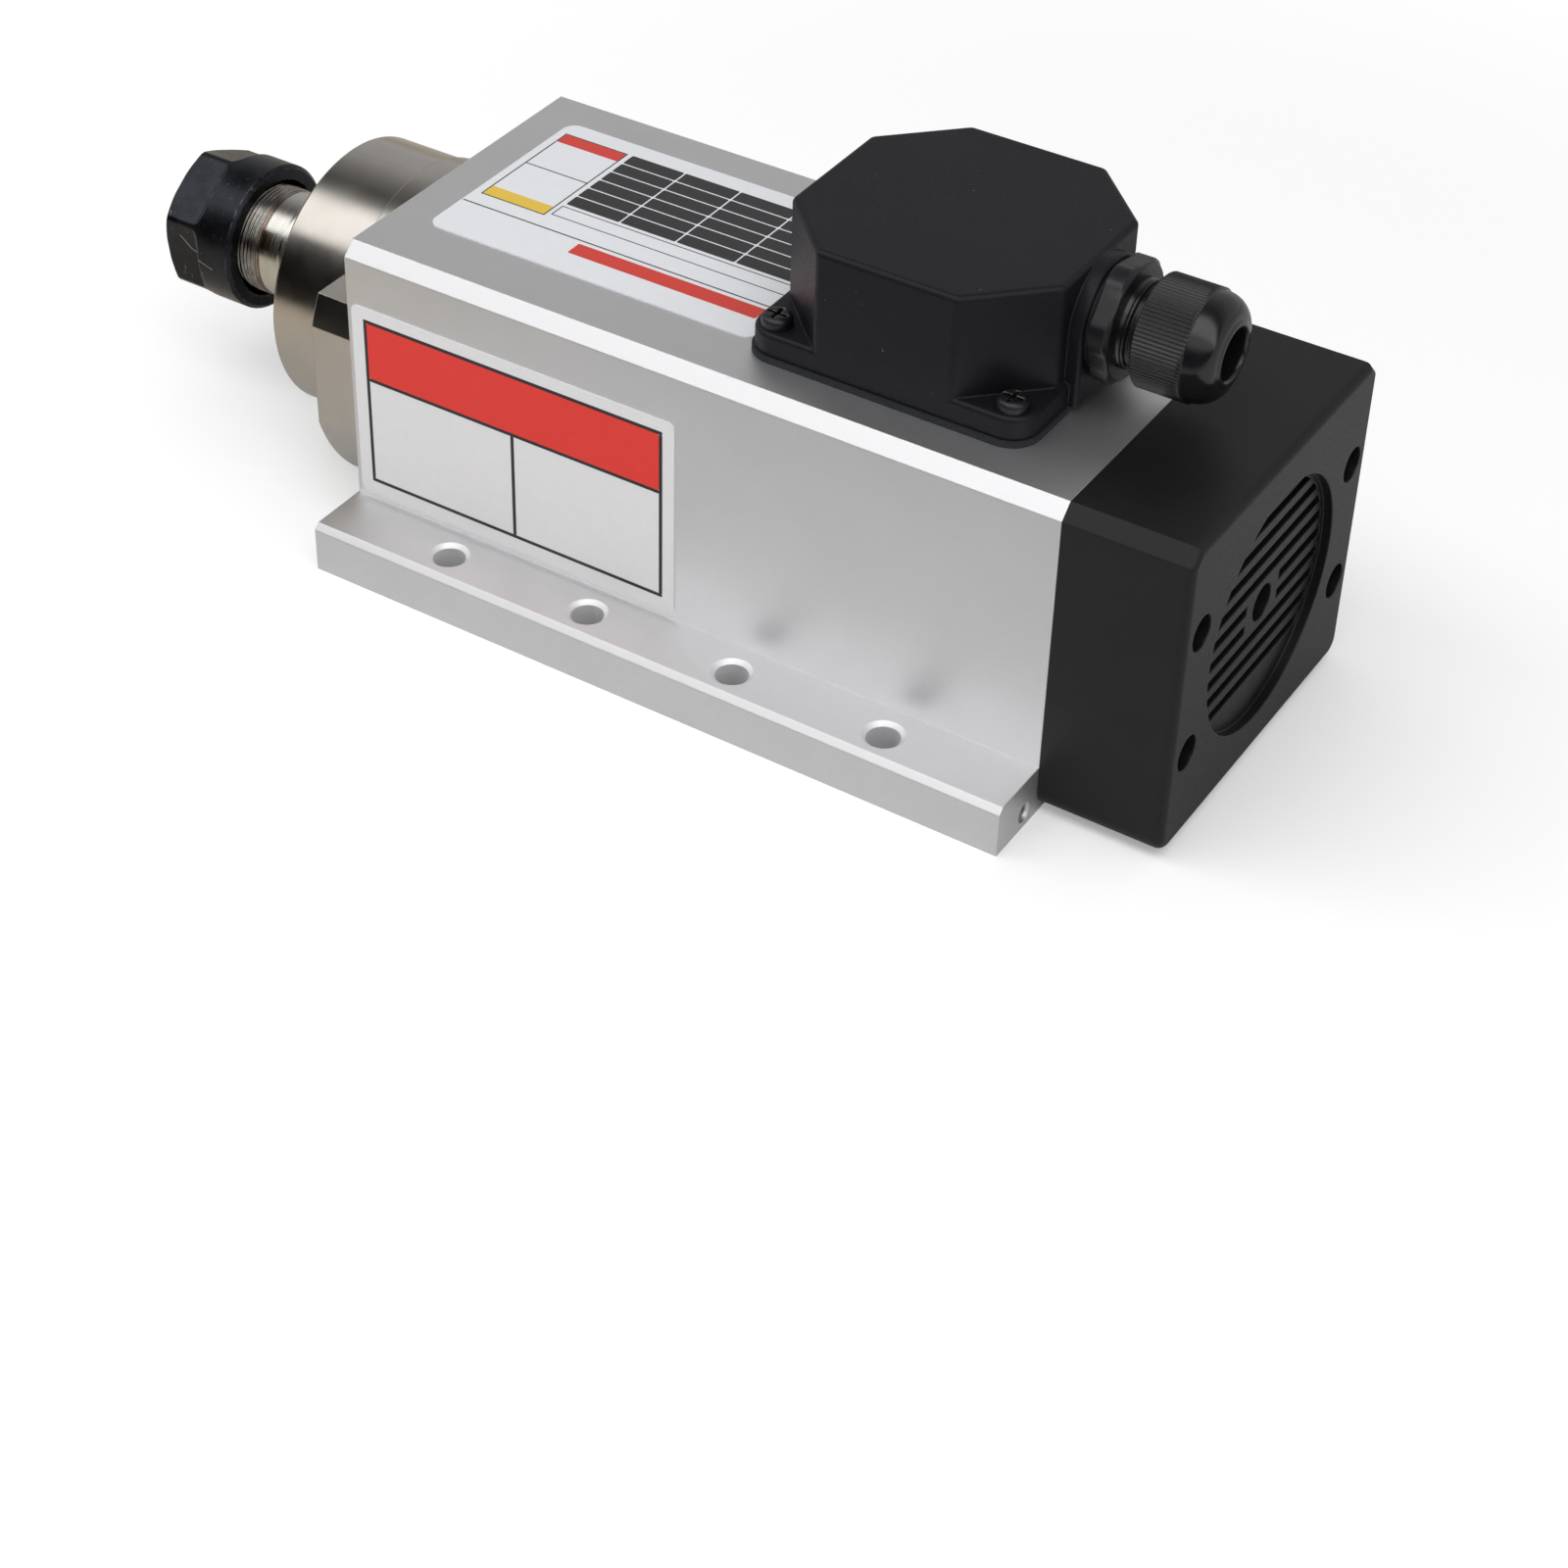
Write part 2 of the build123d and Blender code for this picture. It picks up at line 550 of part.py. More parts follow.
with BuildPart() as collet_nut:
    with BuildSketch(AXIAL):
        with BuildLine():
            Polyline(
                (NUT_FRONT_X + 0.4, NUT_MOUTH_RADIUS),
                (NUT_FRONT_X, NUT_MOUTH_RADIUS + 0.4),
                (NUT_FRONT_X, NUT_RADIUS - 1.8),
                (NUT_FRONT_X + 1.0, NUT_RADIUS),
                (NUT_REAR_X - 0.8, NUT_RADIUS),
                (NUT_REAR_X, NUT_RADIUS - 0.8),
                (NUT_REAR_X, NUT_THREAD_BORE + 1.2),
                (NUT_REAR_X - 3.0, NUT_THREAD_BORE + 1.0),
                (NUT_REAR_X - 3.8, NUT_THREAD_BORE),
                (LIP_X + LIP_LENGTH, NUT_THREAD_BORE),
                (LIP_X + LIP_LENGTH, LIP_RADIUS - LIP_OFFSET - 0.1),
                (LIP_X, LIP_RADIUS - LIP_OFFSET - 0.1),
                (LIP_X, 10.4),
                (NUT_FRONT_X + 2.3, 10.3),
                close=True,
            )
        make_face()
    revolve(axis=SPIN_AXIS)
    with BuildSketch(section_at(LIP_X)):
        with Locations((0, LIP_OFFSET)):
            Circle(LIP_RADIUS)
    extrude(amount=LIP_LENGTH, mode=Mode.SUBTRACT)
    # Six flats run back from the front face, each with a rounded run-out into the collar.
    for flat in range(6):
        with BuildSketch(nut_flat_section(flat)):
            with BuildLine():
                Polyline(
                    (NUT_RUN_OUT_X, NUT_FLATS / 2),
                    (NUT_FRONT_X - 1, NUT_FLATS / 2),
                    (NUT_FRONT_X - 1, NUT_RADIUS + 3),
                    (NUT_FLAT_END_X, NUT_RADIUS + 3),
                    (NUT_FLAT_END_X, NUT_FLATS / 2 + NUT_RUN_OUT),
                )
                RadiusArc(
                    (NUT_FLAT_END_X, NUT_FLATS / 2 + NUT_RUN_OUT),
                    (NUT_RUN_OUT_X, NUT_FLATS / 2),
                    NUT_RUN_OUT,
                )
            make_face()
        extrude(amount=NUT_RADIUS, both=True, mode=Mode.SUBTRACT)
collet_nut.part.label = "collet_nut"
export_step(collet_nut.part, "parts/collet_nut.step")

# ---- rear bracket, fan and cover ------------------------------------------------------------------

BRACKET_HUB_RADIUS = 21.0
BRACKET_REAR_X = BODY_REAR_X + BRACKET_THICKNESS

with BuildPart() as rear_bracket:
    with BuildSketch(section_at(BODY_REAR_X)):
        Circle(38.5)
        with Locations((0, (70.0 + 4.5) / 2 - AXIS_Z)):
            Rectangle(74.0, 65.5, mode=Mode.INTERSECT)
    extrude(amount=BRACKET_THICKNESS)
    with BuildSketch(AXIAL):
        with BuildLine():
            Polyline(
                (REAR_BEARING_X - 2, 0),
                (REAR_BEARING_X - 2, BRACKET_HUB_RADIUS),
                (78.0, BRACKET_HUB_RADIUS),
                (BODY_REAR_X - 3, SPIGOT_RADIUS),
                (BODY_REAR_X, SPIGOT_RADIUS),
                (BODY_REAR_X, 0),
                close=True,
            )
        make_face()
    revolve(axis=SPIN_AXIS)
    with BuildSketch(AXIAL):
        with BuildLine():
            Polyline(
                (REAR_BEARING_X - 2, 0),
                (REAR_BEARING_X - 2, REAR_OUTER),
                (REAR_BEARING_X + REAR_WIDTH + 1.4, REAR_OUTER),
                (REAR_BEARING_X + REAR_WIDTH + 1.4, 13.0),
                (BODY_REAR_X - 1, 13.0),
                (BODY_REAR_X - 1, REAR_BORE + 0.5),
                (BRACKET_REAR_X, REAR_BORE + 0.5),
                (BRACKET_REAR_X, 0),
                close=True,
            )
        make_face()
    revolve(axis=SPIN_AXIS, mode=Mode.SUBTRACT)
    with BuildSketch(section_at(BODY_REAR_X)):
        with GridLocations(2 * COVER_SCREW_Y, 2 * COVER_SCREW_DZ, 2, 2):
            Circle(2.2)
    extrude(amount=BRACKET_THICKNESS, mode=Mode.SUBTRACT)
    # The corners are cut away where the body's air channels end.
    with BuildSketch(Plane.YZ.offset(BODY_REAR_X)):
        with BuildLine():
            Polyline(*CHANNEL_OUTLINE, close=True)
        make_face()
        with BuildLine():
            Polyline(*[(y, 2 * AXIS_Z - z) for y, z in CHANNEL_OUTLINE], close=True)
        make_face()
        mirror(about=Plane.YZ)
    extrude(amount=BRACKET_THICKNESS, mode=Mode.SUBTRACT)
rear_bracket.part.label = "rear_bracket"
export_step(rear_bracket.part, "parts/rear_bracket.step")

preload_spring = turned(
    [
        (REAR_BEARING_X + REAR_WIDTH, 14.8),
        (REAR_BEARING_X + REAR_WIDTH + 1.4, 14.8),
        (REAR_BEARING_X + REAR_WIDTH + 1.4, REAR_OUTER - 0.2),
        (REAR_BEARING_X + REAR_WIDTH, REAR_OUTER - 0.2),
    ]
)
preload_spring.part.label = "preload_spring"
export_step(preload_spring.part, "parts/preload_spring.step")

FAN_HUB_RADIUS = 10.0
BLADE_THICKNESS = 1.4

with BuildPart() as cooling_fan:
    with BuildSketch(section_at(FAN_FRONT_X)):
        Circle(FAN_RADIUS)
    extrude(amount=1.6)
    with BuildSketch(section_at(FAN_FRONT_X)):
        Circle(FAN_HUB_RADIUS)
    extrude(amount=FAN_WIDTH)
    # Backward-curved blades on the rear side of the disc.
    with BuildSketch(section_at(FAN_FRONT_X + 1.6)):
        with PolarLocations(0, FAN_BLADES):
            with BuildLine():
                outer_tip = (FAN_RADIUS * cos(radians(28)), FAN_RADIUS * sin(radians(28)))
                blade_line = ThreePointArc((FAN_HUB_RADIUS - 1, 0), (19.5, 3.4), outer_tip)
                offset(blade_line, amount=BLADE_THICKNESS / 2, side=Side.BOTH, mode=Mode.REPLACE)
            make_face()
    extrude(amount=FAN_WIDTH - 3.6)
    with BuildSketch(section_at(FAN_FRONT_X)):
        Circle(FAN_SEAT_RADIUS)
    extrude(amount=FAN_WIDTH, mode=Mode.SUBTRACT)
cooling_fan.part.label = "cooling_fan"
export_step(cooling_fan.part, "parts/cooling_fan.step")

fan_screw = socket_screw(section_at(FAN_FRONT_X + FAN_WIDTH + 1.0), 3.5, 2.4, 1.98, 13.0)
fan_screw.part.label = "fan_screw"
export_step(fan_screw.part, "parts/fan_screw.step")

fan_washer = turned(
    [
        (FAN_FRONT_X + FAN_WIDTH, 2.2),
        (FAN_FRONT_X + FAN_WIDTH + 1.0, 2.2),
        (FAN_FRONT_X + FAN_WIDTH + 1.0, 8.5),
        (FAN_FRONT_X + FAN_WIDTH, 8.5),
    ]
)
fan_washer.part.label = "fan_washer"
export_step(fan_washer.part, "parts/fan_washer.step")

COVER_MIDDLE_Z = (BODY_HEIGHT + COVER_BOTTOM) / 2
COVER_HEIGHT = BODY_HEIGHT - COVER_BOTTOM
GRILLE_FACE_X = COVER_REAR_X - GRILLE_RECESS
GRILLE_INNER_X = GRILLE_FACE_X - GRILLE_PLATE
POST_RADIUS = 5.0


with BuildPart() as rear_cover:
    with BuildSketch(Plane.YZ.offset(BODY_REAR_X)) as cover_plan:
        with Locations((0, COVER_MIDDLE_Z)):
            Rectangle(BODY_WIDTH, COVER_HEIGHT)
        fillet(cover_plan.vertices().group_by(Axis.Y)[0], COVER_CORNER)
        chamfer(cover_plan.vertices().group_by(Axis.Y)[-1], BODY_CHAMFER)
    extrude(amount=COVER_LENGTH)
    fillet(rear_cover.faces().sort_by(Axis.X)[-1].edges(), 1.8)
    with BuildSketch(Plane.YZ.offset(BODY_REAR_X)):
        with Locations((0, COVER_MIDDLE_Z)):
            RectangleRounded(BODY_WIDTH - 2 * COVER_WALL, COVER_HEIGHT - 2 * COVER_WALL, 2.0)
    extrude(amount=GRILLE_INNER_X - BODY_REAR_X, mode=Mode.SUBTRACT)
    with BuildSketch(section_at(BRACKET_REAR_X)):
        with GridLocations(2 * COVER_SCREW_Y, 2 * COVER_SCREW_DZ, 2, 2):
            Circle(POST_RADIUS)
    extrude(amount=GRILLE_INNER_X - BRACKET_REAR_X + 1)
    # Round recess for the grille, then the slots; the two middle slots stop at the hub.
    with BuildSketch(section_at(GRILLE_FACE_X)):
        Circle(GRILLE_RADIUS)
    extrude(amount=GRILLE_RECESS, mode=Mode.SUBTRACT)
    with BuildSketch(section_at(GRILLE_INNER_X)):
        for row in range(GRILLE_SLOT_COUNT):
            with Locations((0, (GRILLE_SLOTS_UP - row) * GRILLE_PITCH)):
                Rectangle(2 * GRILLE_RADIUS, GRILLE_SLOT)
        Circle(GRILLE_RADIUS - 1.2, mode=Mode.INTERSECT)
        Rectangle(14.0, 2 * GRILLE_PITCH - 1.6, mode=Mode.SUBTRACT)
        Circle(GRILLE_HUB_RADIUS)
    extrude(amount=GRILLE_PLATE, mode=Mode.SUBTRACT)
    with Locations(section_at(COVER_REAR_X)):
        with GridLocations(2 * COVER_SCREW_Y, 2 * COVER_SCREW_DZ, 2, 2):
            CounterBoreHole(2.2, 3.8, COVER_REAR_X - COVER_SCREW_SEAT_X, depth=COVER_LENGTH)
rear_cover.part.label = "rear_cover"
export_step(rear_cover.part, "parts/rear_cover.step")

for number, (y, dz) in enumerate(corner_pairs(COVER_SCREW_Y, COVER_SCREW_DZ), start=1):
    seat = Plane(origin=(COVER_SCREW_SEAT_X, y, AXIS_Z + dz), z_dir=(1, 0, 0))
    cover_screw = socket_screw(seat, 3.5, 4.0, 1.98, 17.0)
    cover_screw.part.label = f"cover_screw_{number}"
    export_step(cover_screw.part, f"parts/cover_screw_{number}.step")

# ---- terminal box ---------------------------------------------------------------------------------

GASKET_TOP_Z = BODY_HEIGHT + GASKET_THICKNESS
BASE_CORNER = 6.0
BOX_REAR_X = BOX_X + BOX_LENGTH / 2
GLAND_BOSS_DEPTH = 3.0
GLAND_BOSS_X = BOX_REAR_X + GLAND_BOSS_DEPTH


def box_plane(z):
    """Horizontal plane at z, centred under the terminal box."""
    return Plane.XY.offset(z).move(Location((BOX_X, BOX_Y, 0)))


with BuildPart() as box_gasket:
    with BuildSketch(box_plane(BODY_HEIGHT)):
        RectangleRounded(BOX_BASE_LENGTH + 1.2, BOX_BASE_WIDTH + 1.2, BASE_CORNER + 0.6)
        RectangleRounded(42.0, 40.0, 3.0, mode=Mode.SUBTRACT)
        with GridLocations(BOX_SCREW_SPACING_X, BOX_SCREW_SPACING_Y, 2, 2):
            Circle(2.3, mode=Mode.SUBTRACT)
    extrude(amount=GASKET_THICKNESS)
box_gasket.part.label = "box_gasket"
export_step(box_gasket.part, "parts/box_gasket.step")


def octagon(inset):
    """The box's eight-sided plan, moved inward by inset, in the current sketch."""
    Rectangle(BOX_LENGTH - 2 * inset, BOX_WIDTH - 2 * inset)
    cut = BOX_CUT - inset * (2 - 2**0.5)
    return cut


with BuildPart() as terminal_box:
    with BuildSketch(box_plane(GASKET_TOP_Z)):
        RectangleRounded(BOX_BASE_LENGTH, BOX_BASE_WIDTH, BASE_CORNER)
    extrude(amount=BOX_EAR_Z - GASKET_TOP_Z)
    # The foot's edges are rounded where its four ears stand out from the box.
    fillet(terminal_box.faces().sort_by(Axis.Z)[-1].edges(), FOOT_FILLET)
    with BuildSketch(box_plane(GASKET_TOP_Z)) as box_plan:
        octagon_cut = octagon(0)
        chamfer(box_plan.vertices(), octagon_cut)
        fillet(box_plan.vertices(), BOX_CORNER_FILLET)
    extrude(amount=BOX_TOP_Z - GASKET_TOP_Z)
    fillet(terminal_box.faces().sort_by(Axis.Z)[-1].edges(), BOX_TOP_FILLET)
    # Arched boss on the rear wall where the gland screws in.
    with BuildSketch(gland_section_at(BOX_REAR_X - 1)):
        Circle(GLAND_BOSS_RADIUS)
        with Locations((0, (GASKET_TOP_Z - GLAND_Z) / 2)):
            Rectangle(2 * GLAND_BOSS_RADIUS, GLAND_Z - GASKET_TOP_Z)
    extrude(amount=GLAND_BOSS_DEPTH + 1)
    fillet(terminal_box.faces().sort_by(Axis.X)[-1].edges().sort_by(Axis.Z)[1:], 0.8)
    with BuildSketch(box_plane(GASKET_TOP_Z)) as cavity_plan:
        octagon_cut = octagon(BOX_WALL)
        chamfer(cavity_plan.vertices(), octagon_cut)
    extrude(amount=BOX_TOP_Z - BOX_WALL - GASKET_TOP_Z, mode=Mode.SUBTRACT)
    with BuildSketch(box_plane(GASKET_TOP_Z)):
        with GridLocations(BOX_SCREW_SPACING_X, BOX_SCREW_SPACING_Y, 2, 2):
            Circle(2.3)
    extrude(amount=BOX_EAR_Z - GASKET_TOP_Z, mode=Mode.SUBTRACT)
    with BuildSketch(gland_section_at(BOX_X)):
        Circle(GLAND_THREAD_RADIUS + 0.1)
    extrude(amount=BOX_LENGTH, mode=Mode.SUBTRACT)
terminal_box.part.label = "terminal_box"
export_step(terminal_box.part, "parts/terminal_box.step")

BOX_SCREW_HEAD = 3.2
for number, (dx, dy) in enumerate(
    corner_pairs(BOX_SCREW_SPACING_X / 2, BOX_SCREW_SPACING_Y / 2), start=1
):
    seat = Plane.XY.offset(BOX_EAR_Z).move(Location((BOX_X + dx, BOX_Y + dy, 0)))
    with BuildPart() as box_screw:
        with BuildSketch(seat):
            Circle(BOX_SCREW_HEAD)
        extrude(amount=2.4)
        fillet(box_screw.faces().sort_by(Axis.Z)[-1].edges(), 1.1)
        with BuildSketch(seat.offset(2.4)):
            Rectangle(4.4, 0.9)
            Rectangle(0.9, 4.4)
        extrude(amount=-1.3, mode=Mode.SUBTRACT)
        with BuildSketch(seat):
            Circle(1.98)
        extrude(amount=-14.0)
    box_screw.part.label = f"box_screw_{number}"
    export_step(box_screw.part, f"parts/box_screw_{number}.step")

BLOCK_X = BOX_X - 6.0
BLOCK_HEIGHT = 10.0
BLOCK_PLANE = Plane.XY.offset(BODY_HEIGHT).move(Location((BLOCK_X, BOX_Y, 0)))

with BuildPart() as terminal_block:
    with BuildSketch(BLOCK_PLANE):
        Rectangle(16.0, 32.0)
    extrude(amount=BLOCK_HEIGHT - 3.0)
    with BuildSketch(BLOCK_PLANE):
        Rectangle(7.0, 32.0)
        with GridLocations(0, 10.0, 1, 4):
            Rectangle(16.0, 2.0)
    extrude(amount=BLOCK_HEIGHT)
    with BuildSketch(BLOCK_PLANE.offset(BLOCK_HEIGHT)):
        with GridLocations(0, 10.0, 1, 3):
            Circle(2.2)
    extrude(amount=-5.0, mode=Mode.SUBTRACT)
terminal_block.part.label = "terminal_block"
export_step(terminal_block.part, "parts/terminal_block.step")

for number, dy in enumerate((-10.0, 0.0, 10.0), start=1):
    seat = Plane.XY.offset(BODY_HEIGHT + BLOCK_HEIGHT - 5.0).move(
        Location((BLOCK_X, BOX_Y + dy, 0))
    )
    with BuildPart() as terminal_screw:
        with BuildSketch(seat):
            Circle(2.0)
        extrude(amount=3.6)
        with BuildSketch(seat.offset(3.6)):
            Rectangle(4.4, 0.7)
        extrude(amount=-1.0, mode=Mode.SUBTRACT)
    terminal_screw.part.label = f"terminal_screw_{number}"
    export_step(terminal_screw.part, f"parts/terminal_screw_{number}.step")

# ---- cable gland ----------------------------------------------------------------------------------

GLAND_HEX_X = GLAND_BOSS_X + 0.8
GLAND_HEX_LENGTH = 4.3
GLAND_NECK_END_X = GLAND_HEX_X + GLAND_HEX_LENGTH
GLAND_BODY_END_X = 87.5
GLAND_BORE_RADIUS = 6.6
GLAND_SEAT_X = 78.0
GLAND_SEAT_RADIUS = 7.9
GLAND_TAIL_X = BOX_REAR_X - BOX_WALL - 2.5

gland_washer = turned(
    [
        (GLAND_BOSS_X, GLAND_THREAD_RADIUS + 0.1),
        (GLAND_HEX_X, GLAND_THREAD_RADIUS + 0.1),
        (GLAND_HEX_X, 11.2),
        (GLAND_BOSS_X, 11.2),
    ],
    GLAND_AXIAL,
    GLAND_AXIS,
)
gland_washer.part.label = "gland_washer"
export_step(gland_washer.part, "parts/gland_washer.step")

with BuildPart() as gland_body:
    with BuildSketch(gland_section_at(GLAND_TAIL_X)):
        Circle(GLAND_THREAD_RADIUS)
    extrude(amount=GLAND_BODY_END_X - GLAND_TAIL_X)
    # The hexagon's corners are turned down to a cylinder, and its outer edge is bevelled.
    with BuildSketch(gland_section_at(GLAND_HEX_X)):
        RegularPolygon(GLAND_FLATS / 2, 6, major_radius=False, rotation=GLAND_HEX_TURN)
        Circle(GLAND_HEX_CORNER, mode=Mode.INTERSECT)
    extrude(amount=GLAND_HEX_LENGTH)
    with BuildSketch(GLAND_AXIAL):
        with BuildLine():
            Polyline(
                (GLAND_NECK_END_X - 0.8, GLAND_HEX_CORNER + 1.0),
                (GLAND_NECK_END_X - 0.8, GLAND_HEX_CORNER),
                (GLAND_NECK_END_X, GLAND_FLATS / 2 - 0.4),
                (GLAND_NECK_END_X, GLAND_HEX_CORNER + 1.0),
                close=True,
            )
        make_face()
    revolve(axis=GLAND_AXIS, mode=Mode.SUBTRACT)
    with BuildSketch(gland_section_at(GLAND_TAIL_X)):
        Circle(GLAND_BORE_RADIUS)
    extrude(amount=GLAND_BODY_END_X - GLAND_TAIL_X, mode=Mode.SUBTRACT)
    with BuildSketch(gland_section_at(GLAND_SEAT_X)):
        Circle(GLAND_SEAT_RADIUS)
    extrude(amount=GLAND_BODY_END_X - GLAND_SEAT_X, mode=Mode.SUBTRACT)
    # Six slits make the clamping claws round the seal.
    with BuildSketch(gland_section_at(GLAND_BODY_END_X - 5.0)):
        with PolarLocations(GLAND_THREAD_RADIUS - 0.6, 6):
            Rectangle(3.0, 1.2)
    extrude(amount=5.0, mode=Mode.SUBTRACT)
gland_body.part.label = "gland_body"
export_step(gland_body.part, "parts/gland_body.step")

gland_seal = turned(
    [
        (GLAND_SEAT_X, GLAND_CABLE_RADIUS),
        (GLAND_SEAT_X, GLAND_SEAT_RADIUS),
        (GLAND_BODY_END_X, GLAND_SEAT_RADIUS),
        (GLAND_BODY_END_X, GLAND_CABLE_RADIUS),
    ],
    GLAND_AXIAL,
    GLAND_AXIS,
)
gland_seal.part.label = "gland_seal"
export_step(gland_seal.part, "parts/gland_seal.step")

GLAND_NUT_X = 79.8
GLAND_RIBS_END_X = 90.4
GLAND_DOME_RADIUS = 11.1
GLAND_NUT_END_X = 96.2
GLAND_RING_X = GLAND_BODY_END_X + 0.3
GLAND_RING_END_X = GLAND_RING_X + 1.6

gland_thrust_ring = turned(
    [
        (GLAND_RING_X, GLAND_CABLE_RADIUS + 0.4),
        (GLAND_RING_END_X, GLAND_CABLE_RADIUS + 0.4),
        (GLAND_RING_END_X, 8.6),
        (GLAND_RING_X, 8.6),
    ],
    GLAND_AXIAL,
    GLAND_AXIS,
)
gland_thrust_ring.part.label = "gland_thrust_ring"
export_step(gland_thrust_ring.part, "parts/gland_thrust_ring.step")

with BuildPart() as gland_nut:
    with BuildSketch(GLAND_AXIAL):
        with BuildLine():
            Polyline(
                (GLAND_RING_END_X + 0.1, GLAND_CABLE_RADIUS + 0.6),
                (GLAND_RING_END_X + 0.1, GLAND_THREAD_RADIUS + 0.09),
                (GLAND_NUT_X, GLAND_THREAD_RADIUS + 0.09),
                (GLAND_NUT_X, GLAND_NUT_RADIUS - 0.6),
                (GLAND_NUT_X + 0.6, GLAND_NUT_RADIUS),
                (GLAND_RIBS_END_X, GLAND_NUT_RADIUS),
                (GLAND_RIBS_END_X, GLAND_DOME_RADIUS),
            )
            ThreePointArc(
                (GLAND_RIBS_END_X, GLAND_DOME_RADIUS),
                (GLAND_NUT_END_X - 1.7, GLAND_DOME_RADIUS - 1.4),
                (GLAND_NUT_END_X, GLAND_CABLE_RADIUS + 1.4),
            )
            Polyline(
                (GLAND_NUT_END_X, GLAND_CABLE_RADIUS + 1.4),
                (GLAND_NUT_END_X - 1.2, GLAND_CABLE_RADIUS),
                (GLAND_NUT_END_X - 3.0, GLAND_CABLE_RADIUS),
                (GLAND_RING_END_X + 0.1, GLAND_CABLE_RADIUS + 0.6),
            )
        make_face()
    revolve(axis=GLAND_AXIS)
gland_nut.part.label = "gland_nut"
export_step(gland_nut.part, "parts/gland_nut.step")

# ---- labels ---------------------------------------------------------------------------------------

LABEL_THICKNESS = 0.25
RATING_PLATE = (-74.4, 6.0, -23.7, 28.0)
SIDE_LABEL = (-82.4, -1.6, 12.9, 59.5)

plate_x0, plate_x1, plate_y0, plate_y1 = RATING_PLATE
with BuildPart() as rating_plate:
    with BuildSketch(Plane.XY.offset(BODY_HEIGHT)):
        with Locations(((plate_x0 + plate_x1) / 2, (plate_y0 + plate_y1) / 2)):
            RectangleRounded(plate_x1 - plate_x0, plate_y1 - plate_y0, 3.0)
    extrude(amount=LABEL_THICKNESS)
rating_plate.part.label = "rating_plate"
export_step(rating_plate.part, "parts/rating_plate.step")

label_x0, label_x1, label_z0, label_z1 = SIDE_LABEL
with BuildPart() as side_label:
    with BuildSketch(Plane.XZ.offset(HALF_WIDTH)):
        with Locations(((label_x0 + label_x1) / 2, (label_z0 + label_z1) / 2)):
            RectangleRounded(label_x1 - label_x0, label_z1 - label_z0, 1.6)
    extrude(amount=LABEL_THICKNESS)
side_label.part.label = "side_label"
export_step(side_label.part, "parts/side_label.step")
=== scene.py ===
"""Motor spindle: materials, printed films, threads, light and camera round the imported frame."""

import json
import math

import bpy
from mathutils import Matrix, Vector


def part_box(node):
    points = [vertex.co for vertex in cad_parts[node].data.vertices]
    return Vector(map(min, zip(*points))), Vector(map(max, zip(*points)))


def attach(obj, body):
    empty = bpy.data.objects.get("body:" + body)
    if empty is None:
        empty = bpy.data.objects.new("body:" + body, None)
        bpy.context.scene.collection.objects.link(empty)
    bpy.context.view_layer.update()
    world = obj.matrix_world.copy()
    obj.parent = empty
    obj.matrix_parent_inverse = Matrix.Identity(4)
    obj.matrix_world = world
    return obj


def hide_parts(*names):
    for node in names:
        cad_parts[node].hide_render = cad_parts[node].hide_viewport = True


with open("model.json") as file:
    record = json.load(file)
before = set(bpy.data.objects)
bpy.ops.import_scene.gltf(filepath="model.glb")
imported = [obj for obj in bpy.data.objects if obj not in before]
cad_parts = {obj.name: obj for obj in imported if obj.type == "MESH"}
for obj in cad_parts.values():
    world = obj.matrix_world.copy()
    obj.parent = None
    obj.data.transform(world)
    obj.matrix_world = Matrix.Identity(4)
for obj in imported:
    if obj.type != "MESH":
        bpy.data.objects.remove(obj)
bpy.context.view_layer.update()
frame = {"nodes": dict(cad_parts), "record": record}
NODES = frame["nodes"]

MM = 0.001

# ---- places taken from the frame ----------------------------------------------------------------

SHAFT_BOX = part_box("spindle_shaft")
GLAND_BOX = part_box("gland_body")
CAP_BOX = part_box("gland_nut")
PLATE_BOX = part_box("rating_plate")
LABEL_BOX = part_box("side_label")

SPINDLE_Z = (SHAFT_BOX[0][2] + SHAFT_BOX[1][2]) / 2 / MM
GLAND_Y = (CAP_BOX[0][1] + CAP_BOX[1][1]) / 2 / MM
GLAND_Z = (CAP_BOX[0][2] + CAP_BOX[1][2]) / 2 / MM

# ---- meshes, in millimetres ---------------------------------------------------------------------


def mesh_object(name, points, faces, smooth=None):
    """A mesh from points; smooth is the angle in degrees under which edges are soft."""
    mesh = bpy.data.meshes.new(name)
    mesh.from_pydata([tuple(c * MM for c in p) for p in points], [], faces)
    mesh.validate()
    if smooth is not None:
        mesh.shade_smooth()
        mesh.set_sharp_from_angle(angle=math.radians(smooth))
    piece = bpy.data.objects.new(name, mesh)
    bpy.context.scene.collection.objects.link(piece)
    return piece


def lathe(name, outline, centre, steps, relief, smooth=35):
    """A turned piece about an axis along X through centre (y, z).

    outline is a closed loop of (x, radius), and a radius of 0 is one point on the axis.
    relief(x, radius, turn) gives the radius in detail, with turn from 0 to 1 round the axis, for
    threads, ribs and flats."""
    points, rings, faces = [], [], []
    for x, radius in outline:
        if radius == 0:
            rings.append([len(points)] * steps)
            points.append((x, *centre))
            continue
        rings.append(range(len(points), len(points) + steps))
        for k in range(steps):
            turn = k / steps
            r = relief(x, radius, turn)
            angle = 2 * math.pi * turn
            points.append((x, centre[0] + r * math.cos(angle), centre[1] + r * math.sin(angle)))
    for near, far in zip(rings, rings[1:] + rings[:1]):
        for k in range(steps):
            n = (k + 1) % steps
            corners = list(dict.fromkeys((near[k], near[n], far[n], far[k])))
            if len(corners) > 2:
                faces.append(corners)
    return mesh_object(name, points, faces, smooth)


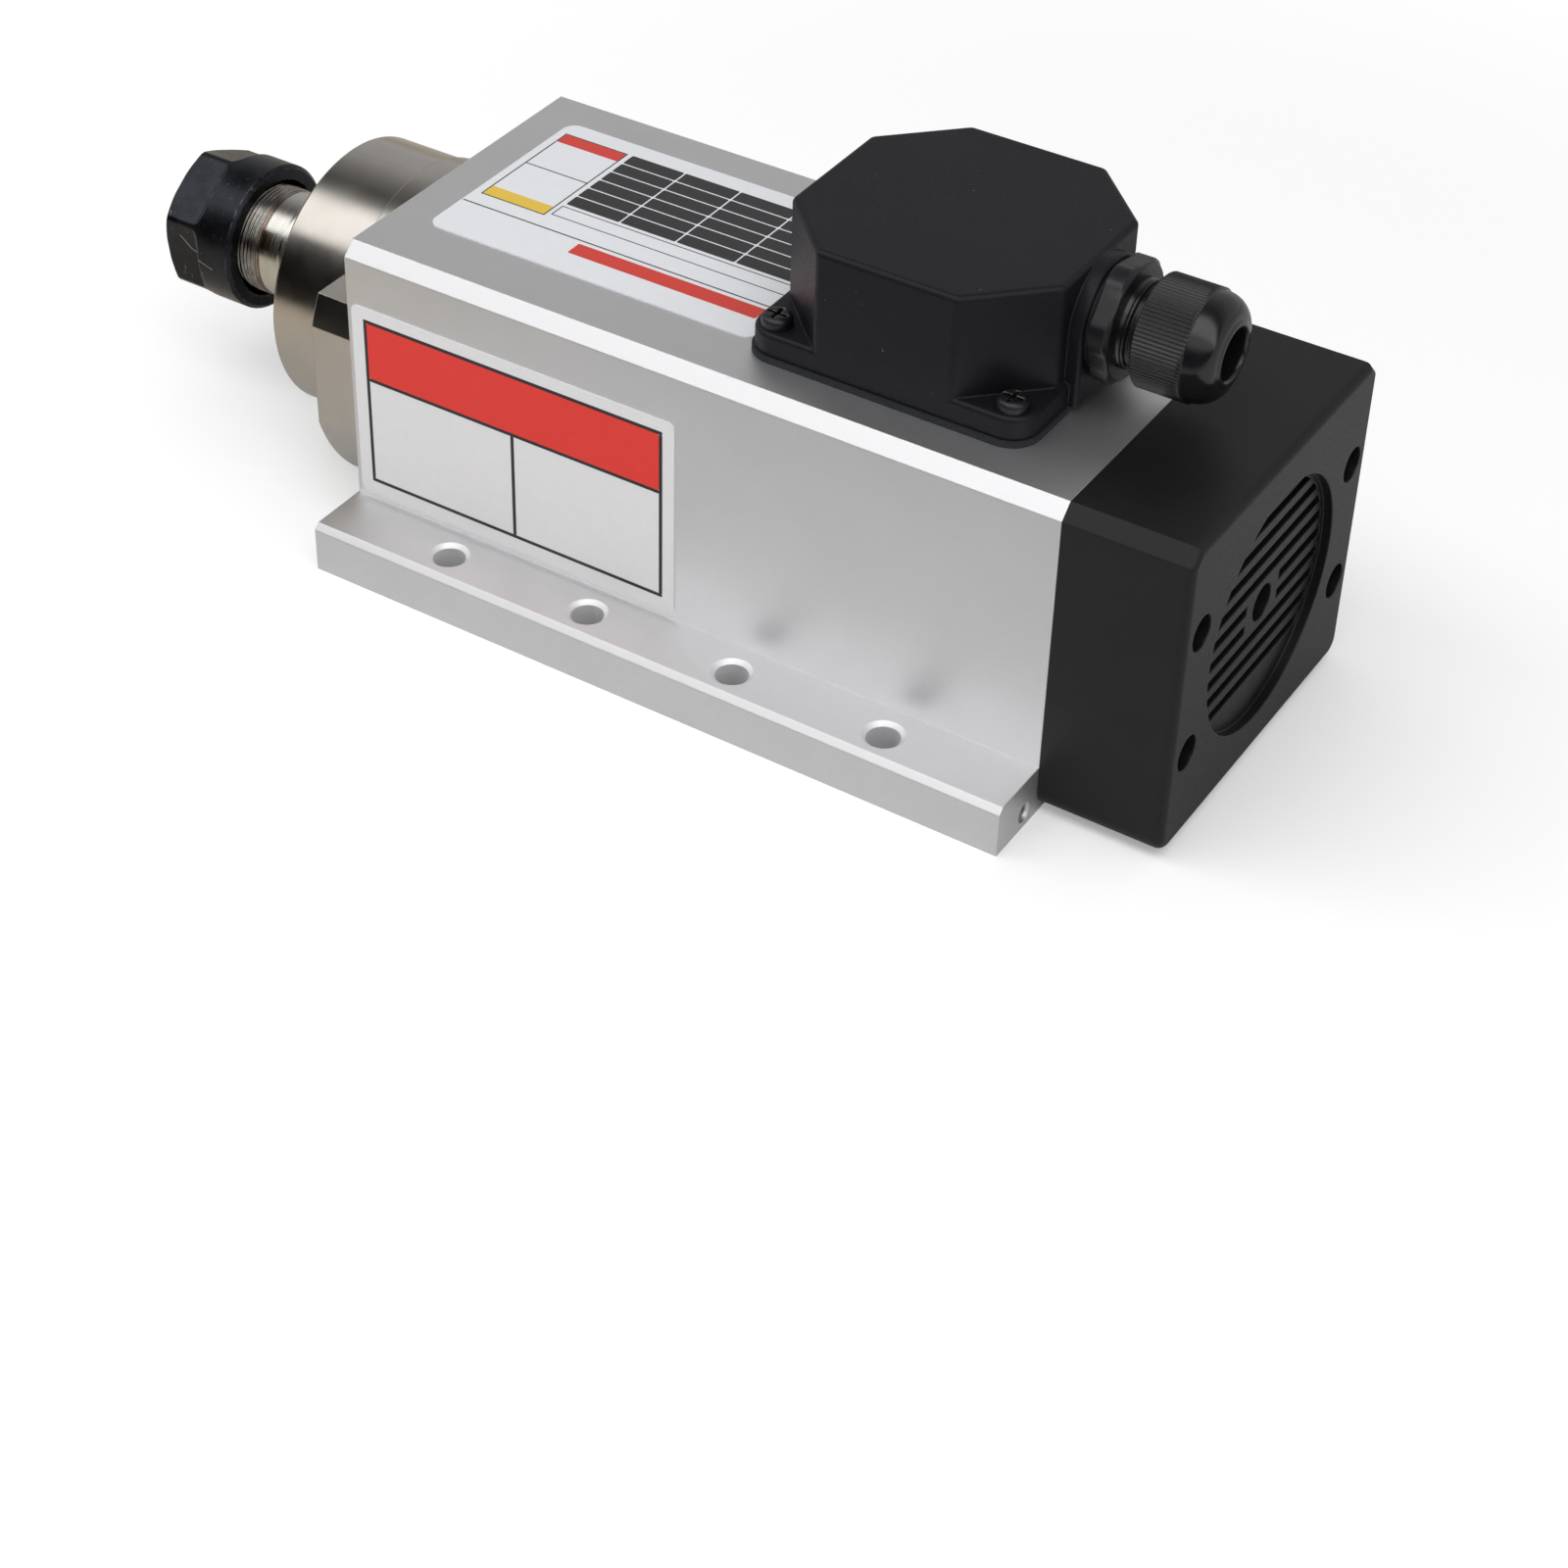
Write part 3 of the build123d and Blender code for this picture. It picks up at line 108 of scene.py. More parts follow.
def spaced(start, end, step):
    """Values from start to end, both included, about a step apart."""
    count = max(1, round(abs(end - start) / step))
    return [start + (end - start) * i / count for i in range(count + 1)]


def stepped(start, steps):
    """The outline of a stepped shaft from start: each step is where it ends and its radius."""
    points = []
    for end, radius in steps:
        points += [(start, radius), (end, radius)]
        start = end
    return points


# The thread's form by its phase: how wide its flat root is, and how steep its flanks are.
THREAD_ROOT, THREAD_FLANK = 1.35, 3.6
# It runs in over one pitch, and out over this share of one.
THREAD_RUNOUT = 0.6


def thread_relief(first, last, pitch, depth, crest):
    """A right-hand thread between two places on the axis, cut to depth below the crest radius."""

    def relief(x, radius, turn):
        if abs(radius - crest) > 0.01 or not first <= x <= last:
            return radius
        phase = (x / pitch + turn) % 1.0
        cut = min(1.0, max(0.0, THREAD_ROOT - abs(phase - 0.5) * THREAD_FLANK))
        fade = min(1.0, (x - first) / pitch, (last - x) / (pitch * THREAD_RUNOUT))
        return radius - depth * cut * max(0.0, fade)

    return relief


# ---- spindle shaft with its collet-nut thread ---------------------------------------------------

SHAFT_NOSE = SHAFT_BOX[0][0] / MM
SHAFT_TAIL = SHAFT_BOX[1][0] / MM
THREAD_CREST, THREAD_DEPTH, THREAD_PITCH = 12.4, 0.35, 1.0
THREAD_FIRST, THREAD_LAST = SHAFT_NOSE + 1.0, -133.5
NOSE_BEVEL = 0.8
GROOVE_RADIUS, SEAT_RADIUS, NECK_RADIUS = 11.9, 12.35, 12.5
# The groove and seat behind the thread. The doubled points beside the bevels keep the soft shading
# of the long faces even.
NECK_OUTLINE = [
    (-133.3, GROOVE_RADIUS),
    (-132.7, GROOVE_RADIUS),
    (-132.45, 12.2),
    (-132.2, SEAT_RADIUS),
    (-132.0, SEAT_RADIUS),
    (-127.2, SEAT_RADIUS),
    (-127.0, SEAT_RADIUS),
    (-126.7, NECK_RADIUS),
]
NECK_START = -126.5
SHAFT_STEPS = [
    (-84.0, NECK_RADIUS),
    (-76.0, 15.0),
    (-62.0, 13.0),
    (26.0, 12.0),
    (66.0, 10.0),
    (80.0, 8.5),
    (87.2, 7.7),
    (SHAFT_TAIL, 6.0),
]
TAIL_BORE, TAIL_BORE_END = 2.0, 83.2
NOSE_BORE, NOSE_BORE_END = 5.6, -96.0
TAPER_END = SHAFT_NOSE + 27.5
TAPER_MOUTH, TAPER_ROOT = 10.5, 6.64

shaft_outline = [
    (SHAFT_NOSE, TAPER_MOUTH),
    (SHAFT_NOSE, THREAD_CREST - NOSE_BEVEL),
    (SHAFT_NOSE + NOSE_BEVEL, THREAD_CREST),
    *[(x, THREAD_CREST) for x in spaced(THREAD_FIRST, THREAD_LAST, 0.12)],
    *NECK_OUTLINE,
    *stepped(NECK_START, SHAFT_STEPS),
    (SHAFT_TAIL, TAIL_BORE),
    (TAIL_BORE_END, TAIL_BORE),
    (TAIL_BORE_END, 0),
    (NOSE_BORE_END, 0),
    (NOSE_BORE_END, NOSE_BORE),
    (TAPER_END, NOSE_BORE),
    (TAPER_END, TAPER_ROOT),
]
shaft = lathe(
    "threaded_shaft",
    shaft_outline,
    (0.0, SPINDLE_Z),
    steps=160,
    relief=thread_relief(THREAD_FIRST, THREAD_LAST, THREAD_PITCH, THREAD_DEPTH, THREAD_CREST),
)
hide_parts("spindle_shaft")
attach(shaft, "rotor")

# ---- cable gland: hexagon, thread and ribbed cap ------------------------------------------------

GLAND_TAIL = GLAND_BOX[0][0] / MM
GLAND_END = GLAND_BOX[1][0] / MM
GLAND_CREST, GLAND_DEPTH, GLAND_PITCH = 9.2, 0.8, 1.5
GLAND_BORE = 6.6
SEAL_SEAT_RADIUS, SEAL_SEAT_START = 7.9, 78.0

HEX_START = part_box("gland_washer")[1][0] / MM
HEX_END = HEX_START + 4.3
HEX_FLATS = 23.6
HEX_TURN = 50.0
HEX_CORNER = (GLAND_BOX[1][1] - GLAND_BOX[0][1]) / 2 / MM
HEX_INNER = GLAND_CREST - 1.2
# The flats draw in by this factor at the end by the box, as a moulded edge.
HEX_EDGE = 0.985

hex_outline = [
    (HEX_START, HEX_CORNER - 0.2),
    (HEX_START + 0.25, HEX_CORNER),
    (HEX_END - 0.8, HEX_CORNER),
    (HEX_END - 0.3, HEX_FLATS / 2 + 0.1),
    (HEX_END, HEX_FLATS / 2 - 0.4),
    (HEX_END, HEX_INNER),
    (HEX_START, HEX_INNER),
]


def hexagon_relief(x, radius, turn):
    """Six flats on a blank that is turned down at its outer end."""
    if radius == HEX_INNER:
        return radius
    angle = 2 * math.pi * turn - math.radians(HEX_TURN)
    flat = HEX_FLATS / 2 / math.cos(angle % math.radians(60) - math.radians(30))
    return min(flat * HEX_EDGE if x == HEX_START else flat, radius)


hexagon = lathe(
    "gland_hexagon",
    hex_outline,
    (GLAND_Y, GLAND_Z),
    steps=144,
    relief=hexagon_relief,
    smooth=25,
)
thread_outline = [
    (GLAND_TAIL, GLAND_BORE),
    *[(x, GLAND_CREST) for x in spaced(GLAND_TAIL, GLAND_END, 0.15)],
    (GLAND_END, SEAL_SEAT_RADIUS),
    (SEAL_SEAT_START, SEAL_SEAT_RADIUS),
    (SEAL_SEAT_START, GLAND_BORE),
]
gland_thread = lathe(
    "gland_thread",
    thread_outline,
    (GLAND_Y, GLAND_Z),
    steps=120,
    relief=thread_relief(HEX_END + 0.6, GLAND_END, GLAND_PITCH, GLAND_DEPTH, GLAND_CREST),
)
for piece in (hexagon, gland_thread):
    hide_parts("gland_body")
    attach(piece, "frame")

CAP_START = CAP_BOX[0][0] / MM
CAP_END = CAP_BOX[1][0] / MM
CAP_RADIUS = (CAP_BOX[1][2] - CAP_BOX[0][2]) / 2 / MM
CAP_RIBS = 84
RIB_STEPS = 8
RIB_DEPTH = 0.36
RIB_START, RIB_END = CAP_START + 0.3, 90.4
DOME_RADIUS = 11.1
DOME_STEPS = 14
CAP_HOLE = 5.2
CAP_THREAD = 9.4


def rib_relief(x, radius, turn):
    """Fine ribs along the cap's gripping band."""
    if radius < CAP_RADIUS - 0.01 or not RIB_START < x < RIB_END - 0.1:
        return radius
    return radius - RIB_DEPTH * abs(2 * (CAP_RIBS * turn % 1.0) - 1)


def dome_points():
    """The smooth dome from the ribbed band to the lip of the cable hole."""
    start = RIB_END + 0.1
    length = CAP_END - 0.3 - start
    lip = CAP_HOLE + 1.6
    points = []
    for i in range(DOME_STEPS + 1):
        angle = i / DOME_STEPS * math.pi / 2
        x = start + length * math.sin(angle)
        points.append((x, lip + (DOME_RADIUS - lip) * math.cos(angle)))
    return points


cap_outline = [
    (CAP_START, CAP_THREAD),
    (CAP_START, CAP_RADIUS - 0.5),
    (RIB_START, CAP_RADIUS - 0.2),
    *[(x, CAP_RADIUS) for x in spaced(CAP_START + 0.35, RIB_END, 0.5)],
    *dome_points(),
    (CAP_END - 0.05, CAP_HOLE + 1.2),
    (CAP_END, CAP_HOLE + 0.9),
    (CAP_END, CAP_HOLE + 0.4),
    (CAP_END - 0.4, CAP_HOLE),
    (CAP_END - 4.4, CAP_HOLE),
    (CAP_END - 6.4, 8.2),
    (CAP_END - 6.8, CAP_THREAD),
]
cap = lathe(
    "gland_cap_ribbed",
    cap_outline,
    (GLAND_Y, GLAND_Z),
    steps=CAP_RIBS * RIB_STEPS,
    relief=rib_relief,
)
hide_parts("gland_nut")
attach(cap, "gland_cap")

# ---- printing on the two films ------------------------------------------------------------------

INK = 0.03
INK_CORNER = 0.25
PLATE_TOP = PLATE_BOX[1][2] / MM
LABEL_FACE = LABEL_BOX[0][1] / MM


def on_plate(u, v, lift):
    """A place on the rating plate, from X and Y."""
    return (u, v, PLATE_TOP + lift)


def on_label(u, v, lift):
    """A place on the side label, from X and Z."""
    return (u, LABEL_FACE - lift, v)


def printed(name, rectangles, place):
    """Printed rectangles (u0, v0, u1, v1) as one thin layer of ink with cut corners."""
    points, faces = [], []
    for u0, v0, u1, v1 in rectangles:
        cut = min(INK_CORNER, (u1 - u0) * 0.2, (v1 - v0) * 0.2)
        rim = [
            (u0 + cut, v0), (u1 - cut, v0), (u1, v0 + cut), (u1, v1 - cut),
            (u1 - cut, v1), (u0 + cut, v1), (u0, v1 - cut), (u0, v0 + cut),
        ]
        base, count = len(points), len(rim)
        points += [place(u, v, lift) for lift in (0.0, INK) for u, v in rim]
        faces.append(tuple(base + count + i for i in range(count)))
        faces.append(tuple(base + count - 1 - i for i in range(count)))
        for i in range(count):
            j = (i + 1) % count
            faces.append((base + i, base + j, base + count + j, base + count + i))
    piece = mesh_object(name, points, faces)
    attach(piece, "frame")
    return piece


def outline_bars(u0, v0, u1, v1, width):
    """Four bars that frame a rectangle."""
    return [
        (u0, v0, u1, v0 + width),
        (u0, v1 - width, u1, v1),
        (u0, v0 + width, u0 + width, v1 - width),
        (u1 - width, v0 + width, u1, v1 - width),
    ]


# Side label: a framed band over two fields.
LABEL_LEFT, LABEL_LOW, LABEL_RIGHT, LABEL_HIGH = -79.3, 16.0, -4.4, 56.7
LABEL_SPLIT = -42.0
BAND_LOW = 42.4
LINE = 0.8

label_lines = printed(
    "label_frame_print",
    outline_bars(LABEL_LEFT, LABEL_LOW, LABEL_RIGHT, LABEL_HIGH, LINE)
    + [
        (LABEL_LEFT + LINE, BAND_LOW - LINE, LABEL_RIGHT - LINE, BAND_LOW),
        (LABEL_SPLIT, LABEL_LOW + LINE, LABEL_SPLIT + LINE, BAND_LOW - LINE),
    ],
    on_label,
)
label_band = printed(
    "label_band_print",
    [(LABEL_LEFT + LINE, BAND_LOW, LABEL_RIGHT - LINE, LABEL_HIGH - LINE)],
    on_label,
)

# Rating plate: a table of dark cells with an empty row along it, beside a narrow framed field.
TABLE_LEFT, TABLE_NEAR, TABLE_FAR = -55.2, -1.4, 23.7
TABLE_RIGHT = PLATE_BOX[1][0] / MM - 0.6
TABLE_COLUMNS = [TABLE_LEFT, -41.5, -27.5, -13.0, TABLE_RIGHT]
TABLE_ROWS = 6
ROW_HEIGHT = (TABLE_FAR - TABLE_NEAR) / TABLE_ROWS
CELL_GAP = 0.2
FIELD = (-72.5, -7.5, -56.2, 23.5)
FIELD_LEFT, FIELD_RIGHT = -72.2, -56.5
FIELD_LINE, ROW_LINE = 0.3, 0.25

table_cells = [
    (
        left + CELL_GAP,
        TABLE_NEAR + row * ROW_HEIGHT + CELL_GAP,
        right - CELL_GAP,
        TABLE_NEAR + (row + 1) * ROW_HEIGHT - CELL_GAP,
    )
    for row in range(TABLE_ROWS)
    for left, right in zip(TABLE_COLUMNS, TABLE_COLUMNS[1:])
]
plate_table = printed("plate_table_print", table_cells, on_plate)
plate_lines = printed(
    "plate_line_print",
    outline_bars(*FIELD, FIELD_LINE)
    + outline_bars(TABLE_LEFT, -6.4, TABLE_RIGHT, -2.2, ROW_LINE)
    + [(-74.0, -11.8, TABLE_RIGHT, -11.45), (FIELD_LEFT, 8.2, FIELD_RIGHT, 8.5)],
    on_plate,
)
plate_red = printed(
    "plate_red_print",
    [(-43.5, -17.0, 2.0, -12.9), (FIELD_LEFT, 19.6, FIELD_RIGHT, 23.2)],
    on_plate,
)
plate_yellow = printed(
    "plate_yellow_print", [(FIELD_LEFT, -7.2, FIELD_RIGHT, -3.6)], on_plate
)

# ---- node trees ---------------------------------------------------------------------------------

WHITE = (1.0, 1.0, 1.0)
BRIGHTEST = 0.95


def shaded(rgb, scale, lift=0.0):
    """A colour made lighter or darker."""
    return tuple(min(BRIGHTEST, c * scale + lift) for c in rgb)


class Graph:
    """The node tree of a material or world, built node by node."""

    def __init__(self, owner):
        self.owner = owner
        owner.use_nodes = True
        self.tree = owner.node_tree
        self.tree.nodes.clear()
        self.coordinates = self.node("TexCoord").outputs

    def node(self, kind, **settings):
        node = self.tree.nodes.new("ShaderNode" + kind)
        for key, value in settings.items():
            setattr(node, key, value)
        return node

    def link(self, source, target):
        """Feeds a socket from another one, a number or a colour."""
        if isinstance(source, (int, float)):
            target.default_value = source
        elif isinstance(source, tuple):
            target.default_value = (*source, 1.0)[: len(target.default_value)]
        else:
            self.tree.links.new(source, target)

    def colour(self, rgb):
        node = self.node("RGB")
        node.outputs[0].default_value = (*rgb, 1.0)
        return node.outputs[0]

    def split(self, vector):
        """The three parts of a vector, in order or by X, Y and Z."""
        node = self.node("SeparateXYZ")
        self.link(vector, node.inputs[0])
        return node.outputs

    def math(self, operation, a, b=0.0):
        node = self.node("Math", operation=operation)
        self.link(a, node.inputs[0])
        self.link(b, node.inputs[1])
        return node.outputs[0]

    def times(self, product, *factors):
        for factor in factors:
            product = self.math("MULTIPLY", product, factor)
        return product

    def ramp(self, factor, low, high, start=0.0, end=1.0, easing="LINEAR"):
        """Maps factor from low..high to start..end, clamped."""
        node = self.node("MapRange", interpolation_type=easing)
        self.link(factor, node.inputs["Value"])
        self.link(low, node.inputs["From Min"])
        self.link(high, node.inputs["From Max"])
        self.link(start, node.inputs["To Min"])
        self.link(end, node.inputs["To Max"])
        return node.outputs[0]

    def mix(self, factor, a, b, blend="MIX"):
        node = self.node("Mix", data_type="RGBA", blend_type=blend)
        self.link(factor, node.inputs[0])
        self.link(a, node.inputs[6])
        self.link(b, node.inputs[7])
        return node.outputs[2]


class Finish(Graph):
    """A procedural material of the object's pieces. Lengths are in millimetres."""

    def __init__(self, name, colour, metal=0.0, shine=0.5):
        super().__init__(bpy.data.materials.new(name))
        self.shader = self.node("BsdfPrincipled")
        self.link(metal, self.shader.inputs["Metallic"])
        self.link(shine, self.shader.inputs["Specular IOR Level"])
        self.place = self.coordinates["Object"]
        self.base = self.colour(colour)
        self.rough = None
        self.rounded = None

    def scaled(self, x, y, z):
        """Places stretched along the axes whose scale is small."""
        node = self.node("Mapping")
        self.link(self.place, node.inputs["Vector"])
        node.inputs["Scale"].default_value = (x, y, z)
        return node.outputs[0]

    def noise(self, scale, detail, rough=0.5, place=None):
        node = self.node("TexNoise")
        self.link(place or self.place, node.inputs["Vector"])
        self.link(scale, node.inputs["Scale"])
        self.link(detail, node.inputs["Detail"])
        self.link(rough, node.inputs["Roughness"])
        return node.outputs["Fac"]

    def tint(self, factor, rgb):
        """Lays rgb over the base colour where factor is 1."""
        self.base = self.mix(factor, self.base, rgb)

    def roughen(self, grain, low, high):
        """Sets the roughness from low to high, by a noise."""
        self.rough = self.ramp(grain, 0.3, 0.7, low, high)

    def rougher(self, factor, amount):
        """Adds amount to the roughness where factor is 1."""
        self.rough = self.math("ADD", self.rough, self.times(factor, amount))

    def aligned(self, one, other):
        """The cosine of the angle between two directions."""
        node = self.node("VectorMath", operation="DOT_PRODUCT")
        self.link(one, node.inputs[0])
        self.link(other, node.inputs[1])
        return node.outputs["Value"]

    def edges(self, radius):
        """1 near sharp edges, 0 on open faces; done() then rounds these edges too."""
        bevel = self.node("Bevel", samples=6)
        self.link(radius * MM, bevel.inputs["Radius"])
        self.rounded = bevel.outputs[0]
        flat = self.node("NewGeometry").outputs["Normal"]
        return self.ramp(self.aligned(self.rounded, flat), 0.98, 0.75)

    def facing(self, direction):
        """1 where the surface faces a direction of its own frame, to within about 6 degrees."""
        unit = tuple(Vector(direction).normalized())
        return self.ramp(self.aligned(self.coordinates["Normal"], unit), 0.985, 0.995)

    def along(self, axis):
        return self.split(self.place)[axis]

    def off(self, axis):
        """The distance from the frame's middle plane, on either side."""
        return self.math("ABSOLUTE", self.along(axis))

    def between(self, value, low, high):
        """1 where a length lies from low to high."""
        return self.times(
            self.math("GREATER_THAN", value, low * MM), self.math("LESS_THAN", value, high * MM)
        )

    def hairline(self, start, end, width):
        """1 along a scratch from start to end, places (x, z), on the near side."""
        length = math.hypot(end[0] - start[0], end[1] - start[1])
        ux, uz = (end[0] - start[0]) / length, (end[1] - start[1]) / length
        dx = self.math("SUBTRACT", self.along("X"), start[0] * MM)
        dz = self.math("SUBTRACT", self.along("Z"), start[1] * MM)
        run = self.math("ADD", self.times(dx, ux), self.times(dz, uz))
        across = self.math("SUBTRACT", self.times(dz, ux), self.times(dx, uz))
        line = self.math("LESS_THAN", self.math("ABSOLUTE", across), width / 2 * MM)
        near_side = self.math("LESS_THAN", self.along("Y"), 0.0)
        return self.times(line, self.between(run, 0.0, length), near_side)

    def done(self, grain, strength, depth):
        """The finished material, with the grain as relief on its faces and rounded edges."""
        relief = self.node("Bump")
        self.link(grain, relief.inputs["Height"])
        self.link(strength, relief.inputs["Strength"])
        self.link(depth * MM, relief.inputs["Distance"])
        if self.rounded is not None:
            self.link(self.rounded, relief.inputs["Normal"])
        self.link(self.base, self.shader.inputs["Base Color"])
        self.link(self.rough, self.shader.inputs["Roughness"])
        self.link(relief.outputs[0], self.shader.inputs["Normal"])
        self.link(self.shader.outputs[0], self.node("OutputMaterial").inputs["Surface"])
        return self.owner


# ---- materials ----------------------------------------------------------------------------------

# The mounting holes: how far off the middle their rows lie and reach, and how high up their
# bevelled rims are.
HOLE_ROW = (43.0, 53.0)
HOLE_REACH = 80.0
RIM_LOW, RIM_HIGH = 10.6, 11.48
WORN_STEEL = (0.42, 0.41, 0.40)
DUST = (0.25, 0.25, 0.25)


def blasted_aluminium():
    """Fine-blasted, clear-anodised extrusion with bright cut bevels and drilled holes."""
    f = Finish("blasted_aluminium", (0.90, 0.90, 0.905), metal=1.0)
    grain = f.noise(2600, detail=3.0, rough=0.65)
    patch = f.noise(55, detail=3.0)
    f.tint(f.ramp(grain, 0.35, 0.65, end=0.5), (0.82, 0.82, 0.83))
    f.tint(f.ramp(patch, 0.3, 0.7, end=0.35), (0.95, 0.95, 0.955))
    f.roughen(grain, 0.43, 0.51)
    cut = f.math("MAXIMUM", f.facing((0, -1, 1)), f.facing((0, 1, 1)))
    f.tint(cut, (0.91, 0.91, 0.915))
    f.rougher(cut, -0.08)
    # The mounting holes are drilled after blasting: bright, matt walls with a cut rim.
    row = f.between(f.off("Y"), *HOLE_ROW)
    row = f.times(row, f.math("LESS_THAN", f.off("X"), HOLE_REACH * MM))
    drilled = f.times(row, f.between(f.along("Z"), 0.05, RIM_LOW))
    f.tint(drilled, (0.83, 0.83, 0.835))
    f.rougher(drilled, 0.3)
    rim = f.times(row, f.between(f.along("Z"), RIM_LOW, RIM_HIGH))
    f.tint(rim, (0.98, 0.98, 0.985))
    f.rougher(rim, 0.06)
    # Painted highlight: the edges lighter than the faces.
    f.tint(f.edges(0.3), (0.96, 0.96, 0.965))
    return f.done(grain, strength=0.16, depth=0.15)


def nickel_plate():
    """Bright, warm nickel over a turned surface with faint lathe lines."""
    f = Finish("nickel_plate", (0.58, 0.545, 0.50), metal=1.0)
    streak = f.noise(900, detail=3.0, rough=0.6, place=f.scaled(1.0, 0.03, 0.03))
    cloud = f.noise(90, detail=3.0, rough=0.6)
    f.tint(f.ramp(cloud, 0.35, 0.7, end=0.6), (0.52, 0.485, 0.435))
    f.roughen(cloud, 0.16, 0.23)
    # Painted highlight: a light, warm line along the edges.
    f.tint(f.edges(0.35), (0.75, 0.72, 0.68))
    return f.done(streak, strength=0.10, depth=0.12)


def turned_steel(name, colour, rough, stains_and_shade=()):
    """Turned or ground metal with rings round the spindle axis."""
    f = Finish(name, colour, metal=1.0)
    rings = f.noise(2200, detail=2.0, rough=0.6, place=f.scaled(1.0, 0.02, 0.02))
    cloud = f.noise(260, detail=4.0, rough=0.65)
    f.tint(f.ramp(cloud, 0.35, 0.75, end=0.6), shaded(colour, 0.72))
    # Each entry tints a place: a stain, or a patch of painted shade.
    for rgb, ranges, amount in stains_and_shade:
        mask = f.ramp(cloud, 0.40, 0.52, 1.0 - 0.5 * amount, amount)
        for axis, (low, high) in ranges.items():
            mask = f.times(mask, f.between(f.along(axis), low, high))
        f.tint(mask, rgb)
    f.roughen(rings, rough - 0.05, rough + 0.07)
    # Painted highlight: the edges lighter than the steel.
    f.tint(f.edges(0.25), shaded(colour, 1.35))
    return f.done(rings, strength=0.12, depth=0.1)


def black_oxide(name, colour, rough, wear, scratches=()):
    """Blackened steel, rubbed bright on its corners and scuffed on its flats."""
    f = Finish(name, colour, metal=0.85)
    cloud = f.noise(160, detail=4.0, rough=0.6)
    scuff = f.noise(1500, detail=3.0, rough=0.7, place=f.scaled(1.0, 0.25, 0.25))
    f.tint(f.ramp(cloud, 0.42, 0.62, end=0.7), shaded(colour, 1.7))
    f.tint(f.ramp(scuff, 0.66, 0.74, end=0.8), (0.30, 0.30, 0.31))
    f.roughen(cloud, rough - 0.05, rough + 0.1)
    for start, end, width in scratches:
        f.tint(f.times(f.hairline(start, end, width), 0.8), WORN_STEEL)
    patchy = f.ramp(f.noise(500, detail=3.0), 0.40, 0.55)
    f.tint(f.times(f.edges(0.6), patchy, wear), WORN_STEEL)
    return f.done(scuff, strength=0.10, depth=0.2)


def moulded_plastic(name, colour, rough, shine, grain_scale=1500, grain_strength=0.12, dust=0.0):
    """Black moulded plastic with a fine spark-eroded grain, painted highlights on its edges and a
    little dust.
    """
    f = Finish(name, colour, shine=shine)
    grain = f.noise(grain_scale, detail=3.0, rough=0.6)
    cloud = f.noise(70, detail=3.0, rough=0.55)
    f.tint(f.ramp(cloud, 0.35, 0.7, end=0.7), shaded(colour, 1.35))
    if dust:
        f.tint(f.ramp(f.noise(1100, detail=1.0, rough=0.4), 0.80, 0.86, end=dust), DUST)
    f.roughen(grain, rough - 0.05, rough + 0.06)
    # Painted highlight: the edges lighter than the faces.
    f.tint(f.times(f.edges(0.5), 0.6), shaded(colour, 3.0, lift=0.03))
    return f.done(grain, strength=grain_strength, depth=0.2)


def rubber(name, colour):
    """Dull, fine-grained rubber."""
    f = Finish(name, colour, shine=0.25)
    grain = f.noise(1800, detail=3.0, rough=0.6)
    f.tint(f.ramp(grain, 0.4, 0.7, end=0.5), shaded(colour, 1.8))
    f.roughen(grain, 0.62, 0.8)
    return f.done(grain, strength=0.2, depth=0.2)


def film(name, colour):
    """Semi-gloss film, or the ink on it, with a faint orange peel and soft mottling."""
    f = Finish(name, colour, shine=0.4)
    peel = f.noise(420, detail=2.0)
    fine = f.noise(2400, detail=2.0)
    f.tint(f.ramp(peel, 0.3, 0.7, end=0.5), shaded(colour, 0.955))
    f.roughen(fine, 0.34, 0.44)
    return f.done(peel, strength=0.05, depth=0.2)


def cast_metal(name, colour, rough):
    """Cast or pressed metal inside the motor."""
    f = Finish(name, colour, metal=1.0)
    grain = f.noise(900, detail=4.0, rough=0.6)
    f.tint(f.ramp(grain, 0.35, 0.7, end=0.6), shaded(colour, 0.7))
    f.roughen(grain, rough - 0.06, rough + 0.08)
    return f.done(grain, strength=0.15, depth=0.2)


def enamelled_copper():
    """Bundled enamelled wire: fine strands along the winding."""
    f = Finish("enamelled_copper", (0.55, 0.20, 0.08), metal=0.8)
    strand = f.noise(1600, detail=2.0, place=f.scaled(0.05, 1.0, 1.0))
    f.tint(f.ramp(strand, 0.4, 0.65), (0.30, 0.08, 0.03))
    f.roughen(strand, 0.28, 0.42)
    return f.done(strand, strength=0.5, depth=0.3)


# Painted shade in the shaft's thread, dark and brown as under the nut, rust in its groove and a
# dried spot on its neck: colour, place, share.
SHAFT_STAINS_AND_SHADE = [
    # Painted shade: the thread darkened where the nut shades it.
    ((0.23, 0.205, 0.18), {"X": (-160.0, -133.4)}, 0.9),
    ((0.24, 0.12, 0.08), {"X": (-133.4, -132.8)}, 0.85),
    ((0.20, 0.18, 0.06), {"X": (-132.8, -129.6), "Y": (-12.6, -9.0), "Z": (41.8, 45.4)}, 0.9),
]
# One bent scratch on the nut: where each part starts and ends, and its width.
NUT_SCRATCH = [
    ((-152.2, 40.6), (-149.3, 37.8), 0.28),
    ((-149.3, 37.8), (-142.0, 35.5), 0.22),
]

